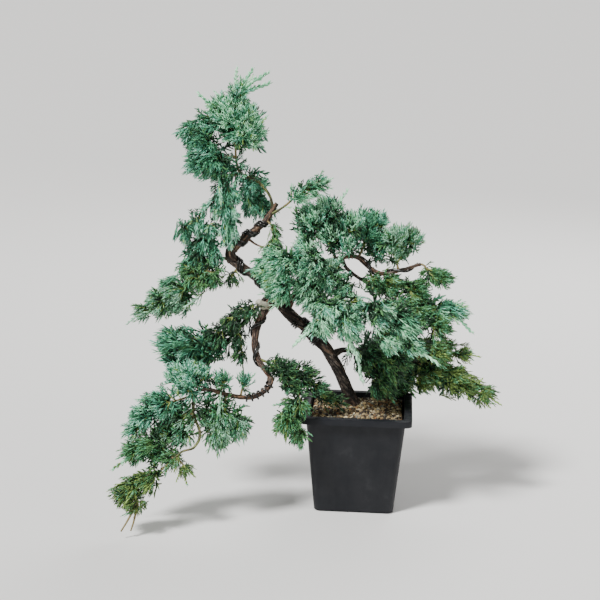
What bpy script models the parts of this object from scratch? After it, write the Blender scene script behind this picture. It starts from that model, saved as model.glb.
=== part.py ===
# A blue juniper bonsai in semi-cascade style, standing in its square nursery pot.
#
# Frame: metres, +Z up, X to the right and Y away from the front.
# The origin is the centre of the pot's underside. Routes and sizes below are in millimetres.
# Run with: blender --background --python part.py

import math
import random

import bmesh
import bpy
import numpy as np
from mathutils import Matrix, Vector

MM = 0.001
GOLDEN_ANGLE = math.pi * (3.0 - math.sqrt(5.0))

# Driving dimensions, in millimetres.
GAP = 0.3
POT_RIM = 130.0
POT_HEIGHT = 118.0
POT_WALL_TOP = 114.0
POT_WALL_BOTTOM = 91.0
POT_INNER_TOP = 109.0
RIM_SKIRT = 7.4
RIM_SHEET = 2.2
FLOOR_THICK = 3.0
FOOT_HEIGHT = 2.5
FOOT_INSET = 2.2
NOTCH_WIDTH = 12.0
NOTCH_DEPTH = 9.0
NOTCH_PROUD = 1.0
CORNER = 6.0
CORNER_STEPS = 3
RIM_CHAMFER = 0.8
SOIL_TOP = 112.0
ROOT_FLARE = 2.6
FLARE_HEIGHT = 9.0
LIMB_STEP = 8.0
LIMB_STEP_PER_RADIUS = 2.6

# Twig sizes, in millimetres, and how strongly a blade leans along its twig and with its mass.
STEM_RADIUS = (2.0, 1.6)
STEM_ELBOW = 5.0
ELBOW_SHARE = 0.4
AXIS_END_RADIUS = 1.4
STALK_RADIUS = 0.8
ROOT_SHARE = 0.4
END_MARGIN = 1.0
FORWARD_LEAN = 0.35
SWEEP_LEAN = 0.45
END_FORWARD_LEAN = 0.6
LOBE_START = 0.7

# Blade sizes, in millimetres; width, thickness and belly are shares of a blade's length.
BLADE_LONGEST = 30.0
BLADE_SHORTEST = 8.0
BLADE_WIDTH = 0.52
BLADE_THICK = 0.13
BLADE_BELLY = 0.45
BLADE_SUNK = 0.4
BLADE_TRIES = 8
BLADE_SHRINK = 0.1
BLADE_SWERVE = 0.45
BLADE_ROLL = 0.7
BLADE_RODS = ((0.0, 0.2, 0.5), (0.2, 0.58, 1.0), (0.58, 0.78, 0.75), (0.78, 0.97, 0.38))
BLADES_PER_AREA = 0.0096
BLADES_LEAST = 2
CORE_SIZES = (0.85, 0.7, 0.55)
CORE_LEAST = 11.0  # a lobe no larger than this has no core
CORE_LUMPS = (0.85, 1.1)
CLEAR = 0.35
FLOOR_CLEAR = 6.0
POT_CLEAR = 1.0
OWN_SHARE = 0.6
LOBE_REACH = (1.2, 1.45)

# Colours are linear base colours; roughness comes second.
MATERIALS = {
    "bark": ((0.115, 0.085, 0.065), 0.85),
    "young_bark": ((0.230, 0.125, 0.070), 0.75),
    "green_stem": ((0.270, 0.300, 0.090), 0.60),
    "deadwood": ((0.480, 0.420, 0.340), 0.70),
    "wire": ((0.020, 0.019, 0.018), 0.35),
    "pot_plastic": ((0.024, 0.026, 0.030), 0.45),
    "soil_grit": ((0.330, 0.220, 0.130), 0.95),
    "mint": ((0.240, 0.480, 0.390), 0.55),
    "blue_green": ((0.110, 0.320, 0.270), 0.60),
    "sea_green": ((0.130, 0.290, 0.190), 0.60),
    "deep_green": ((0.050, 0.150, 0.090), 0.65),
    "olive": ((0.190, 0.240, 0.100), 0.65),
}

# Limbs: the centre line from the seat to the tip, and radii spread evenly along it.
# A limb is cut 0.3 mm clear of the limbs in "seat", inside which its route begins.
LIMBS = {
    "trunk": {
        "route": [(-6, 20, 112), (-15, 16, 136), (-28, 12, 165), (-43, 8, 188), (-61, 4, 206),
                  (-80, 0, 223), (-94, -3, 237), (-105, -4, 253), (-122, -3, 268), (-152, 0, 288)],
        "radii": [7.4, 7.0, 7.2, 7.6, 7.2, 6.6, 5.6, 5.2, 5.6],
        "sides": 9, "seat": [], "bark": "bark",
    },
    "upper_trunk": {
        "route": [(-150, 0, 286), (-154, 1, 296), (-146, 1, 306), (-135, 3, 316), (-121, 5, 327),
                  (-111, 7, 338), (-101, 8, 355)],
        "radii": [5.0, 5.3, 5.0, 4.5, 3.8, 3.1, 2.5],
        "sides": 8, "seat": ["trunk"], "bark": "young_bark",
    },
    "leader": {
        "route": [(-105, 8, 346), (-110, 9, 364), (-124, 12, 379), (-138, 12, 385), (-147, 11, 392),
                  (-150, 10, 408)],
        "radii": [1.9, 1.7, 1.6, 1.5, 1.4],
        "sides": 6, "seat": ["upper_trunk"], "bark": "bark",
    },
    "left_arch": {
        "route": [(-143, 12, 388), (-157, 7, 384), (-167, 3, 372), (-170, -1, 360), (-180, -6, 350)],
        "radii": [1.3, 1.2, 1.1, 1.0],
        "sides": 5, "seat": ["leader"], "bark": "green_stem",
    },
    "right_shoot": {
        "route": [(-108, 7, 342), (-99, 6, 347), (-91, 4, 353)],
        "radii": [1.5, 1.4, 1.3],
        "sides": 5, "seat": ["upper_trunk", "leader"], "bark": "green_stem",
    },
    "left_upper": {
        "route": [(-150, 0, 288), (-165, -3, 290), (-181, -12, 288), (-187, -17, 277), (-191, -19, 266)],
        "radii": [1.9, 1.8, 1.5, 1.3],
        "sides": 6, "seat": ["trunk", "upper_trunk"], "bark": "green_stem",
    },
    "right_thin": {
        "route": [(-136, 3, 315), (-124, 1, 307), (-108, -3, 302), (-99, -6, 301)],
        "radii": [1.4, 1.2, 1.1],
        "sides": 5, "seat": ["upper_trunk"], "bark": "young_bark",
    },
    "cascade_upper": {
        "route": [(-99, -3, 243), (-107, -14, 238), (-114, -22, 227), (-119, -31, 211), (-120, -37, 195),
                  (-115, -43, 180), (-106, -49, 169), (-99, -53, 161)],
        "radii": [5.0, 4.8, 4.4, 4.2, 3.9, 3.5, 3.1],
        "sides": 8, "seat": ["trunk"], "bark": "bark",
    },
    "cascade_middle": {
        "route": [(-99, -53, 162), (-101, -60, 152), (-110, -66, 145), (-124, -73, 142), (-147, -84, 148),
                  (-170, -94, 156), (-186, -100, 149)],
        "radii": [3.0, 2.9, 2.7, 2.5, 2.3, 2.0],
        "sides": 7, "seat": ["cascade_upper"], "bark": "young_bark",
    },
    "cascade_lower": {
        "route": [(-182, -99, 152), (-181, -106, 129), (-173, -113, 110), (-178, -122, 96),
                  (-192, -127, 91), (-206, -134, 78)],
        "radii": [1.9, 1.8, 1.6, 1.4, 1.2],
        "sides": 6, "seat": ["cascade_middle"], "bark": "green_stem",
    },
    "dead_stub": {
        "route": [(-108, -15, 236), (-114, -24, 241), (-118, -28, 245)],
        "radii": [3.2, 3.0, 2.6],
        "sides": 8, "seat": ["cascade_upper", "trunk"], "bark": "deadwood",
    },
    "left_middle": {
        "route": [(-105, -4, 250), (-114, -9, 242), (-126, -18, 228), (-139, -26, 213),
                  (-152, -30, 197), (-163, -32, 188)],
        "radii": [2.3, 2.2, 2.0, 1.7, 1.4],
        "sides": 6, "seat": ["trunk", "cascade_upper", "dead_stub"], "bark": "bark",
    },
    "pot_side": {
        "route": [(-115, -43, 180), (-104, -44, 177), (-92, -46, 169), (-77, -50, 163), (-66, -54, 157)],
        "radii": [1.5, 1.3, 1.2, 1.1],
        "sides": 5, "seat": ["cascade_upper"], "bark": "green_stem",
    },
    "right_bough": {
        "route": [(-88, 0, 229), (-77, 11, 249), (-64, 16, 267), (-48, 20, 283), (-28, 22, 290),
                  (-8, 25, 292), (9, 26, 279), (25, 25, 273), (46, 24, 278), (69, 24, 286)],
        "radii": [4.0, 3.8, 3.4, 3.0, 2.8, 2.5, 2.3, 2.0],
        "sides": 7, "seat": ["trunk"], "bark": "young_bark",
    },
    "inner_bough": {
        "route": [(-25, 22, 290), (-18, 28, 277), (0, 33, 263), (28, 36, 250), (52, 34, 241),
                  (78, 29, 237)],
        "radii": [2.4, 2.1, 1.8, 1.5, 1.3],
        "sides": 6, "seat": ["right_bough"], "bark": "bark",
    },
    "front_bough": {
        "route": [(-61, 4, 206), (-54, -14, 217), (-38, -34, 229), (-16, -50, 240), (-2, -58, 244)],
        "radii": [2.9, 2.6, 2.2, 1.8],
        "sides": 6, "seat": ["trunk"], "bark": "bark",
    },
    "low_bough": {
        "route": [(-33, 11, 174), (-21, 20, 179), (-2, 33, 176), (19, 43, 170), (43, 46, 164),
                  (70, 38, 162)],
        "radii": [3.4, 3.0, 2.5, 2.1, 1.7],
        "sides": 7, "seat": ["trunk"], "bark": "bark",
    },
}

# Training wires: the limb that each one winds round, where it starts and ends along it, and its turns.
WIRE_RADIUS = 0.9
WIRE_SIDES = 4
WIRE_POINTS_PER_TURN = 8
WIRES = {
    "wire_upper_trunk": {"limb": "upper_trunk", "span": (0.46, 0.66), "turns": 2.5},
    "wire_cascade": {"limb": "cascade_upper", "span": (0.30, 0.62), "turns": 3.0},
    "wire_bend": {"limb": "cascade_middle", "span": (0.14, 0.40), "turns": 5.0},
}

# Foliage masses. "on" is the bough; "tip" grows on from its end, "side" leaves it where it is nearest.
# Each lobe is a centre and a radius; shoots are the far tips that stand out of the lobes.
MASSES = {
    "apex_top": {
        "on": "leader", "end": "tip", "colour": "mint", "sweep": (0.1, 0, 0.6), "core": True,
        "lobes": [(-151, 8, 444, 25), (-138, 0, 434, 20), (-167, 14, 457, 17), (-150, 8, 478, 12)],
        "shoots": [(-150, 6, 511), (-134, 10, 511), (-110, 4, 506), (-111, 12, 496), (-198, 14, 480),
                   (-180, 20, 482), (-165, 4, 484), (-113, -6, 457), (-131, 22, 463)],
    },
    "apex_left": {
        "on": "leader", "end": "side", "colour": "blue_green", "sweep": (-0.6, 0, -0.2), "core": True,
        "lobes": [(-169, 1, 408, 18), (-180, -1, 427, 19), (-196, 3, 437, 15), (-186, -2, 403, 16),
                  (-182, 3, 450, 12), (-164, 4, 395, 14)],
        "shoots": [(-209, -4, 412), (-207, 2, 447), (-192, -2, 383)],
    },
    "hang_front": {
        "on": "left_arch", "end": "side", "colour": "mint", "sweep": (0, -0.1, -1.2), "core": True,
        "lobes": [(-158, -6, 374, 16), (-156, -11, 356, 16), (-153, -12, 333, 15), (-152, -10, 312, 11)],
        "shoots": [(-151, -10, 295)],
    },
    "hang_back": {
        "on": "leader", "end": "side", "colour": "mint", "sweep": (0.2, 0.1, -0.9), "core": True,
        "lobes": [(-134, 23, 380, 16), (-131, 27, 360, 16), (-117, 25, 350, 13)],
        "shoots": [(-132, 20, 400), (-118, 24, 385), (-134, 28, 334)],
    },
    "hang_left": {
        "on": "left_arch", "end": "tip", "colour": "blue_green", "sweep": (-0.2, 0, -1.1), "core": True,
        "lobes": [(-191, -10, 338, 14), (-203, -14, 328, 13), (-184, -9, 316, 16), (-189, -10, 295, 17),
                  (-200, -12, 286, 13), (-171, -12, 300, 12), (-176, -12, 331, 12)],
        "shoots": [(-211, -16, 318), (-178, -8, 366), (-173, -8, 275)],
    },
    "shoot_tip": {
        "on": "right_shoot", "end": "tip", "colour": "mint", "sweep": (0.8, -0.1, 0.3), "core": True,
        "lobes": [(-80, -1, 364, 12), (-67, -4, 373, 12), (-54, -7, 381, 10)],
        "shoots": [(-38, -10, 391), (-46, -12, 376)],
    },
    "sprig_under": {
        "on": "upper_trunk", "end": "side", "colour": "sea_green", "sweep": (0.3, 0, -0.9), "core": False,
        "lobes": [(-104, -1, 329, 8), (-104, -3, 316, 9), (-108, -7, 307, 8)],
        "shoots": [(-92, -6, 308)],
    },
    "knuckle_tuft": {
        "on": "trunk", "end": "side", "colour": "deep_green", "sweep": (0, 0, -0.8), "core": True,
        "lobes": [(-150, -8, 272, 9)],
        "shoots": [(-159, -6, 263), (-142, -8, 262)],
    },
    "left_inner": {
        "on": "left_upper", "end": "side", "colour": "olive", "sweep": (-0.5, 0, -0.6), "core": True,
        "lobes": [(-172, -22, 276, 15), (-186, -30, 270, 13), (-198, -26, 280, 10)],
        "shoots": [(-198, -26, 293)],
    },
    "left_outer": {
        "on": "left_upper", "end": "tip", "colour": "sea_green", "sweep": (-0.9, 0, -0.4), "core": True,
        "lobes": [(-204, -22, 256, 20), (-226, -21, 243, 17), (-247, -20, 229, 12), (-202, -20, 240, 13)],
        "shoots": [(-270, -22, 216), (-197, -24, 234), (-224, -22, 265)],
    },
    "brush": {
        "on": "left_middle", "end": "tip", "colour": "blue_green", "sweep": (-1.3, 0, 0.0), "core": True,
        "lobes": [(-184, -34, 193, 22), (-206, -38, 196, 18), (-170, -31, 184, 17), (-202, -32, 179, 17),
                  (-182, -34, 171, 13)],
        "shoots": [(-234, -40, 194), (-226, -42, 185), (-224, -36, 177), (-189, -30, 160)],
    },
    "brush_dark": {
        "on": "left_middle", "end": "side", "colour": "deep_green", "sweep": (-1.0, 0, -0.4), "core": True,
        "lobes": [(-131, -30, 236, 11), (-146, -36, 227, 13), (-161, -37, 211, 14), (-137, -40, 207, 11),
                  (-134, -42, 189, 10), (-122, -41, 243, 10)],
        "shoots": [(-174, -38, 210), (-131, -39, 165)],
    },
    "crown_top": {
        "on": "right_bough", "end": "side", "colour": "mint", "sweep": (-0.1, 0, 0.9), "core": True,
        "lobes": [(-36, 12, 310, 17), (-58, 11, 327, 20), (-39, 16, 341, 17), (-17, 20, 322, 18),
                  (-63, 4, 305, 14), (-15, 10, 303, 13)],
        "shoots": [(-70, 8, 346), (-18, 22, 371), (-54, 14, 361)],
    },
    "crown_back": {
        "on": "right_bough", "end": "side", "colour": "blue_green", "sweep": (0.3, 0.3, 0.8), "core": True,
        "lobes": [(2, 42, 306, 16), (13, 50, 322, 15), (-4, 44, 326, 14), (20, 44, 302, 14),
                  (14, 38, 290, 12)],
        "shoots": [(24, 56, 339), (2, 50, 342)],
    },
    "crown_fine": {
        "on": "right_bough", "end": "side", "colour": "mint", "sweep": (0.2, 0, 0.8), "core": True,
        "lobes": [(39, 29, 291, 14), (37, 30, 309, 16), (54, 33, 309, 15)],
        "shoots": [(39, 32, 329), (68, 36, 306)],
    },
    "crown_end": {
        "on": "right_bough", "end": "tip", "colour": "sea_green", "sweep": (0.9, 0, -0.2), "core": True,
        "lobes": [(79, 21, 276, 13), (92, 20, 271, 11)],
        "shoots": [(100, 20, 284), (85, 18, 262)],
    },
    "centre_left": {
        "on": "right_thin", "end": "tip", "colour": "mint", "sweep": (0.1, -0.4, -0.5), "core": True,
        "lobes": [(-87, -18, 291, 20), (-104, -17, 282, 15), (-86, -22, 263, 17), (-100, -12, 300, 10)],
        "shoots": [(-115, -16, 266), (-113, -12, 303), (-97, -24, 248)],
    },
    "centre_right": {
        "on": "right_bough", "end": "side", "colour": "mint", "sweep": (0.3, -0.5, -0.3), "core": True,
        "lobes": [(-58, -8, 265, 18), (-56, -10, 289, 20), (-34, -4, 276, 19), (-44, -12, 247, 16),
                  (-18, -4, 262, 14)],
        "shoots": [(-72, -6, 315), (-20, 8, 303), (-69, -16, 232)],
    },
    "front_left": {
        "on": "front_bough", "end": "side", "colour": "mint", "sweep": (0.2, -0.4, -0.5), "core": True,
        "lobes": [(-33, -54, 248, 17), (-16, -64, 236, 18), (-42, -52, 232, 15), (-6, -58, 257, 13)],
        "shoots": [(-80, -62, 207), (6, -78, 172), (-6, -74, 207)],
    },
    "front_right": {
        "on": "front_bough", "end": "tip", "colour": "mint", "sweep": (0.9, -0.3, -0.5), "core": True,
        "lobes": [(17, -66, 250, 20), (43, -70, 238, 18), (28, -68, 220, 17), (56, -76, 216, 13)],
        "shoots": [(84, -84, 194), (63, -78, 221), (50, -76, 205)],
    },
    "mid_right": {
        "on": "inner_bough", "end": "side", "colour": "sea_green", "sweep": (0.6, 0, 0.0), "core": True,
        "lobes": [(28, 28, 261, 15), (58, 26, 256, 16), (64, 18, 228, 16), (44, 16, 236, 15),
                  (86, 13, 214, 15), (10, 22, 264, 12)],
        "shoots": [(26, 36, 268), (81, 24, 242)],
    },
    "far_right": {
        "on": "inner_bough", "end": "tip", "colour": "sea_green", "sweep": (1.0, 0, -0.1), "core": True,
        "lobes": [(88, 24, 233, 16), (106, 18, 234, 14)],
        "shoots": [(125, 14, 228), (129, 12, 210), (114, 20, 250)],
    },
    "under_front": {
        "on": "low_bough", "end": "side", "colour": "deep_green", "sweep": (0.2, -0.2, -0.4), "core": True,
        "lobes": [(8, -8, 186, 20), (31, -12, 182, 20), (48, -6, 200, 18), (22, -16, 155, 17)],
        "shoots": [(-7, -20, 168), (41, -14, 129), (10, -34, 200)],
    },
    "under_back": {
        "on": "low_bough", "end": "side", "colour": "deep_green", "sweep": (0.2, 0.4, -0.2), "core": True,
        "lobes": [(20, 64, 172, 21), (46, 72, 168, 23), (42, 66, 139, 20), (74, 60, 174, 20)],
        "shoots": [(-12, 56, 158), (67, 60, 117), (84, 66, 185), (60, 92, 160)],
    },
    "low_right": {
        "on": "low_bough", "end": "tip", "colour": "olive", "sweep": (1.0, 0, -0.3), "core": True,
        "lobes": [(84, 26, 157, 19), (104, 18, 151, 18), (124, 12, 145, 15), (143, 8, 137, 13),
                  (86, 8, 186, 15), (70, 12, 149, 13)],
        "shoots": [(167, 4, 127), (154, 4, 120), (144, 12, 157), (74, 18, 132)],
    },
    "low_right_upper": {
        "on": "low_bough", "end": "side", "colour": "olive", "sweep": (0.9, 0, 0.1), "core": True,
        "lobes": [(76, 32, 182, 11), (97, 34, 181, 13), (117, 34, 176, 11)],
        "shoots": [(142, 34, 176), (131, 30, 164)],
    },
    "cascade_top": {
        "on": "cascade_middle", "end": "side", "colour": "mint", "sweep": (-0.4, 0, 0.6), "core": True,
        "lobes": [(-184, -97, 168, 15), (-199, -99, 167, 14), (-170, -91, 168, 12), (-185, -111, 158, 13)],
        "shoots": [(-211, -100, 174), (-192, -96, 187)],
    },
    "cascade_tuft": {
        "on": "cascade_middle", "end": "side", "colour": "blue_green",
        "sweep": (-0.2, 0, 0.7), "core": True,
        "lobes": [(-150, -86, 161, 11)],
        "shoots": [(-152, -86, 173), (-140, -82, 168)],
    },
    "bend_tuft": {
        "on": "cascade_middle", "end": "side", "colour": "blue_green", "sweep": (0.2, 0, 0.9), "core": True,
        "lobes": [(-129, -75, 157, 10)],
        "shoots": [(-116, -74, 171), (-132, -78, 166)],
    },
    "cascade_left": {
        "on": "cascade_middle", "end": "tip", "colour": "blue_green",
        "sweep": (-0.9, -0.2, -0.3), "core": True,
        "lobes": [(-210, -106, 142, 17), (-229, -110, 129, 17), (-242, -114, 114, 12),
                  (-226, -106, 146, 11)],
        "shoots": [(-257, -118, 107), (-228, -106, 153)],
    },
    "cascade_pale": {
        "on": "cascade_middle", "end": "side", "colour": "mint", "sweep": (0.1, -0.2, -0.6), "core": True,
        "lobes": [(-150, -92, 130, 17), (-156, -97, 112, 17), (-136, -88, 118, 15), (-168, -89, 132, 14)],
        "shoots": [(-157, -98, 79), (-124, -84, 127), (-135, -88, 97)],
    },
    "cascade_centre": {
        "on": "cascade_lower", "end": "side", "colour": "olive", "sweep": (-0.5, 0.2, -0.3), "core": True,
        "lobes": [(-198, -96, 125, 17), (-190, -98, 105, 14), (-211, -104, 107, 15)],
        "shoots": [(-219, -108, 98), (-190, -88, 138)],
    },
    "cascade_low": {
        "on": "cascade_lower", "end": "side", "colour": "sea_green", "sweep": (-0.9, 0, -0.2), "core": True,
        "lobes": [(-211, -120, 90, 13), (-224, -122, 97, 16), (-240, -124, 91, 14), (-200, -113, 82, 12)],
        "shoots": [(-263, -128, 83), (-264, -130, 67), (-250, -124, 102)],
    },
    "cascade_tail": {
        "on": "cascade_lower", "end": "tip", "colour": "olive", "sweep": (-0.8, -0.2, -0.6), "core": True,
        "lobes": [(-222, -140, 66, 15), (-238, -146, 58, 15), (-250, -150, 50, 12), (-236, -154, 42, 12)],
        "shoots": [(-265, -150, 58), (-259, -154, 34)],
        "bare_shoots": [(-243, -160, 8), (-253, -166, 9)],
    },
    "cascade_sprig": {
        "on": "cascade_lower", "end": "side", "colour": "olive", "sweep": (0.4, 0, -0.7), "core": False,
        "lobes": [(-189, -129, 77, 8)],
        "shoots": [(-176, -125, 64), (-187, -128, 55), (-197, -134, 60)],
    },
    "pot_side_upper": {
        "on": "pot_side", "end": "side", "colour": "olive", "sweep": (0.7, 0, 0.0), "core": True,
        "lobes": [(-84, -56, 171, 14), (-65, -47, 166, 14), (-97, -54, 175, 11), (-51, -44, 151, 13),
                  (-39, -32, 134, 10), (-26, -22, 127, 8), (-80, -62, 157, 13)],
        "shoots": [(-84, -56, 184), (-9, -16, 124)],
    },
    "pot_side_lower": {
        "on": "pot_side", "end": "tip", "colour": "sea_green", "sweep": (-0.1, -0.2, -0.8), "core": True,
        "lobes": [(-67, -74, 141, 16), (-75, -81, 124, 16), (-65, -84, 110, 13)],
        "shoots": [(-94, -80, 146), (-89, -84, 114), (-62, -84, 92), (-46, -82, 109)],
    },
}


def clear_scene():
    for obj in list(bpy.data.objects):
        bpy.data.objects.remove(obj, do_unlink=True)


def material(name):
    found = bpy.data.materials.get(name)
    if found:
        return found
    colour, roughness = MATERIALS[name]
    made = bpy.data.materials.new(name)
    made.use_nodes = True
    shader = made.node_tree.nodes["Principled BSDF"]
    shader.inputs["Base Color"].default_value = (*colour, 1.0)
    shader.inputs["Roughness"].default_value = roughness
    shader.inputs["Metallic"].default_value = 0.0
    return made


def add_object(name, mesh, surface):
    obj = bpy.data.objects.new(name, mesh)
    bpy.context.scene.collection.objects.link(obj)
    if surface:
        mesh.materials.append(material(surface))
    return obj


def mesh_of(name, verts, faces):
    # Points come in millimetres and the mesh is in metres.
    mesh = bpy.data.meshes.new(name)
    mesh.from_pydata([tuple(c * MM for c in v) for v in verts], [], faces)
    mesh.update()
    return mesh


def mark_cutter(obj):
    obj.hide_render = True
    obj.display_type = "WIRE"


def cut(obj, cutter):
    boolean = obj.modifiers.new("cut_" + cutter.name, "BOOLEAN")
    boolean.operation = "DIFFERENCE"
    boolean.solver = "EXACT"
    boolean.object = cutter


# Curves and tubes

def smooth_route(points, step):
    # A Catmull-Rom curve through the points, sampled about every step.
    pts = [Vector(p) for p in points]
    ends = [pts[0] * 2 - pts[1]] + pts + [pts[-1] * 2 - pts[-2]]
    out = []
    for i in range(1, len(ends) - 2):
        a, b, c, d = ends[i - 1:i + 3]
        count = max(1, round((c - b).length / step))
        for k in range(count):
            t = k / count
            out.append(0.5 * ((2 * b) + (c - a) * t + (2 * a - 5 * b + 4 * c - d) * t * t
                              + (3 * b - a - 3 * c + d) * t ** 3))
    out.append(pts[-1])
    return out


def lengths_along(points):
    total = [0.0]
    for a, b in zip(points, points[1:]):
        total.append(total[-1] + (b - a).length)
    return [t / total[-1] for t in total]


def spread(values, t):
    # The value at t (0 to 1) in a list spread evenly along a limb.
    place = min(max(t, 0.0), 1.0) * (len(values) - 1)
    i = min(int(place), len(values) - 2)
    return values[i] + (values[i + 1] - values[i]) * (place - i)


def frames_along(points):
    # Tangent and two normals at each point, carried along without twisting.
    tangents = []
    for i in range(len(points)):
        tangents.append((points[min(i + 1, len(points) - 1)] - points[max(i - 1, 0)]).normalized())
    side = tangents[0].orthogonal().normalized()
    frames = []
    for tangent in tangents:
        side = (side - tangent * side.dot(tangent)).normalized()
        frames.append((tangent, side, tangent.cross(side)))
    return frames


def tube_mesh(name, points, radii, sides, level_start=False):
    frames = frames_along(points)
    verts = []
    for point, radius, (tangent, side, other) in zip(points, radii, frames):
        for k in range(sides):
            angle = 2 * math.pi * k / sides
            verts.append(point + (side * math.cos(angle) + other * math.sin(angle)) * radius)
    if level_start:
        # The flat cut at the ground: the first ring slides along the limb to one height.
        tangent = frames[0][0]
        for k in range(sides):
            verts[k] = verts[k] + tangent * ((points[0].z - verts[k].z) / tangent.z)
    faces = []
    for i in range(len(points) - 1):
        for k in range(sides):
            a = i * sides + k
            b = i * sides + (k + 1) % sides
            faces.append((a, b, b + sides, a + sides))
    faces.append(tuple(reversed(range(sides))))
    last = (len(points) - 1) * sides
    faces.append(tuple(range(last, last + sides)))
    return mesh_of(name, verts, faces)


# What each solid occupies, as round-ended rods: start, end, radius and owner.

class Room:
    def __init__(self):
        self.starts = []
        self.ends = []
        self.radii = []
        self.owners = []
        self.blades = []

    def add(self, start, end, radius, owner, blade=False):
        self.starts.append(tuple(start))
        self.ends.append(tuple(end))
        self.radii.append(radius)
        self.owners.append(owner)
        self.blades.append(blade)

    def is_free(self, rods, owner):
        # True where no rod comes within CLEAR of another owner's rod, or of the pot and soil,
        # and where no blade runs through a blade of its own mass.
        starts = np.array(self.starts)
        ends = np.array(self.ends)
        radii = np.array(self.radii)
        own = np.array([name == owner for name in self.owners])
        own_blade = own & np.array(self.blades)
        for i, (start, end, radius) in enumerate(rods):
            if rod_hits_pot(start, end, radius):
                return False
            if min(start[2], end[2]) < FLOOR_CLEAR:
                return False
            gaps = rod_distances(start, end, starts, ends)
            if np.any(gaps[~own] < radii[~own] + radius + CLEAR):
                return False
            if i and np.any(gaps[own_blade] < (radii[own_blade] + radius) * OWN_SHARE):
                return False
        return True


def rod_hits_pot(start, end, radius):
    for t in (0.0, 0.25, 0.5, 0.75, 1.0):
        x, y, z = Vector(start).lerp(Vector(end), t)
        reach = POT_RIM / 2 + radius + POT_CLEAR
        if abs(x) < reach and abs(y) < reach and z < POT_HEIGHT + radius + POT_CLEAR:
            return True
    return False


def rod_distances(p0, p1, q0, q1):
    # Shortest distances from one segment to many.
    p0 = np.array(p0, dtype=float)
    p1 = np.array(p1, dtype=float)
    d1 = p1 - p0
    d2 = q1 - q0
    r = p0 - q0
    a = max(float(d1 @ d1), 1e-9)
    e = np.maximum(np.einsum("ij,ij->i", d2, d2), 1e-9)
    f = np.einsum("ij,ij->i", d2, r)
    c = r @ d1
    b = d2 @ d1
    denom = np.maximum(a * e - b * b, 1e-9)
    s = np.clip((b * f - c * e) / denom, 0.0, 1.0)
    t = np.clip((b * s + f) / e, 0.0, 1.0)
    s = np.clip((b * t - c) / a, 0.0, 1.0)
    near1 = p0 + s[:, None] * d1
    near2 = q0 + t[:, None] * d2
    return np.linalg.norm(near1 - near2, axis=1)


# Trunk and boughs

def limb_line(name):
    # Points and radii along a limb, with the flare of the roots on the trunk.
    limb = LIMBS[name]
    first = limb["radii"][0]
    points = smooth_route(limb["route"], max(LIMB_STEP, first * LIMB_STEP_PER_RADIUS))
    along = lengths_along(points)
    radii = [spread(limb["radii"], t) for t in along]
    if name == "trunk":
        for i, point in enumerate(points):
            radii[i] += ROOT_FLARE * math.exp(-(point.z - SOIL_TOP) / FLARE_HEIGHT)
        points[0] = points[0] + Vector((0, 0, GAP))
    return points, radii


def build_limb(name, room):
    limb = LIMBS[name]
    points, radii = limb_line(name)
    mesh = tube_mesh(name, points, radii, limb["sides"], level_start=(name == "trunk"))
    obj = add_object(name, mesh, limb["bark"])
    for carrier in limb["seat"]:
        cut(obj, grown_copy(carrier))
    for a, b, ra, rb in zip(points, points[1:], radii, radii[1:]):
        room.add(a, b, max(ra, rb), name)
    return obj


def grown_copy(name):
    # A cutter 0.3 mm outside the limb.
    found = bpy.data.objects.get("grown_" + name)
    if found:
        return found
    points, radii = limb_line(name)
    sides = LIMBS[name]["sides"]
    grow = GAP / math.cos(math.pi / sides)
    points[0] = points[0] - (points[1] - points[0]).normalized() * GAP
    points[-1] = points[-1] + (points[-1] - points[-2]).normalized() * GAP
    mesh = tube_mesh("grown_" + name, points, [r + grow for r in radii], sides)
    obj = add_object("grown_" + name, mesh, None)
    mark_cutter(obj)
    return obj


def build_wire(name, room):
    wire = WIRES[name]
    points, radii = limb_line(wire["limb"])
    along = lengths_along(points)
    frames = frames_along(points)
    first, last = wire["span"]
    count = round(wire["turns"] * WIRE_POINTS_PER_TURN)
    route = []
    for k in range(count + 1):
        t = first + (last - first) * k / count
        i = max(j for j in range(len(along)) if along[j] <= t)
        i = min(i, len(along) - 2)
        part = (t - along[i]) / (along[i + 1] - along[i])
        centre = points[i].lerp(points[i + 1], part)
        radius = radii[i] + (radii[i + 1] - radii[i]) * part
        side = frames[i][1].lerp(frames[i + 1][1], part).normalized()
        other = frames[i][2].lerp(frames[i + 1][2], part).normalized()
        angle = 2 * math.pi * wire["turns"] * k / count
        reach = (radius + GAP + WIRE_RADIUS) / math.cos(math.pi / WIRE_POINTS_PER_TURN)
        route.append(centre + (side * math.cos(angle) + other * math.sin(angle)) * reach)
    mesh = tube_mesh(name, route, [WIRE_RADIUS] * len(route), WIRE_SIDES)
    add_object(name, mesh, "wire")
    for a, b in zip(route, route[1:]):
        room.add(a, b, WIRE_RADIUS, name)


# Foliage

def closest_on_limb(name, target):
    # The nearest place on a limb's centre line: point, radius and direction.
    points, radii = limb_line(name)
    best = None
    for i in range(len(points) - 1):
        span = points[i + 1] - points[i]
        t = min(max((target - points[i]).dot(span) / span.length_squared, 0.0), 1.0)
        place = points[i] + span * t
        gap = (target - place).length
        if best is None or gap < best[0]:
            best = (gap, place, radii[i] + (radii[i + 1] - radii[i]) * t, span.normalized())
    return best[1:]


def mass_root(mass):
    # Where the stem starts, 0.3 mm clear of its bough, and the way it leaves.
    points, radii = limb_line(mass["on"])
    heart = Vector(mass["lobes"][0][:3])
    if mass["end"] == "tip":
        way = (points[-1] - points[-2]).normalized()
        return points[-1] + way * GAP, way
    place, radius, along = closest_on_limb(mass["on"], heart)
    way = heart - place
    way = (way - along * way.dot(along)).normalized()
    return place + way * (radius + GAP), way


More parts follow.
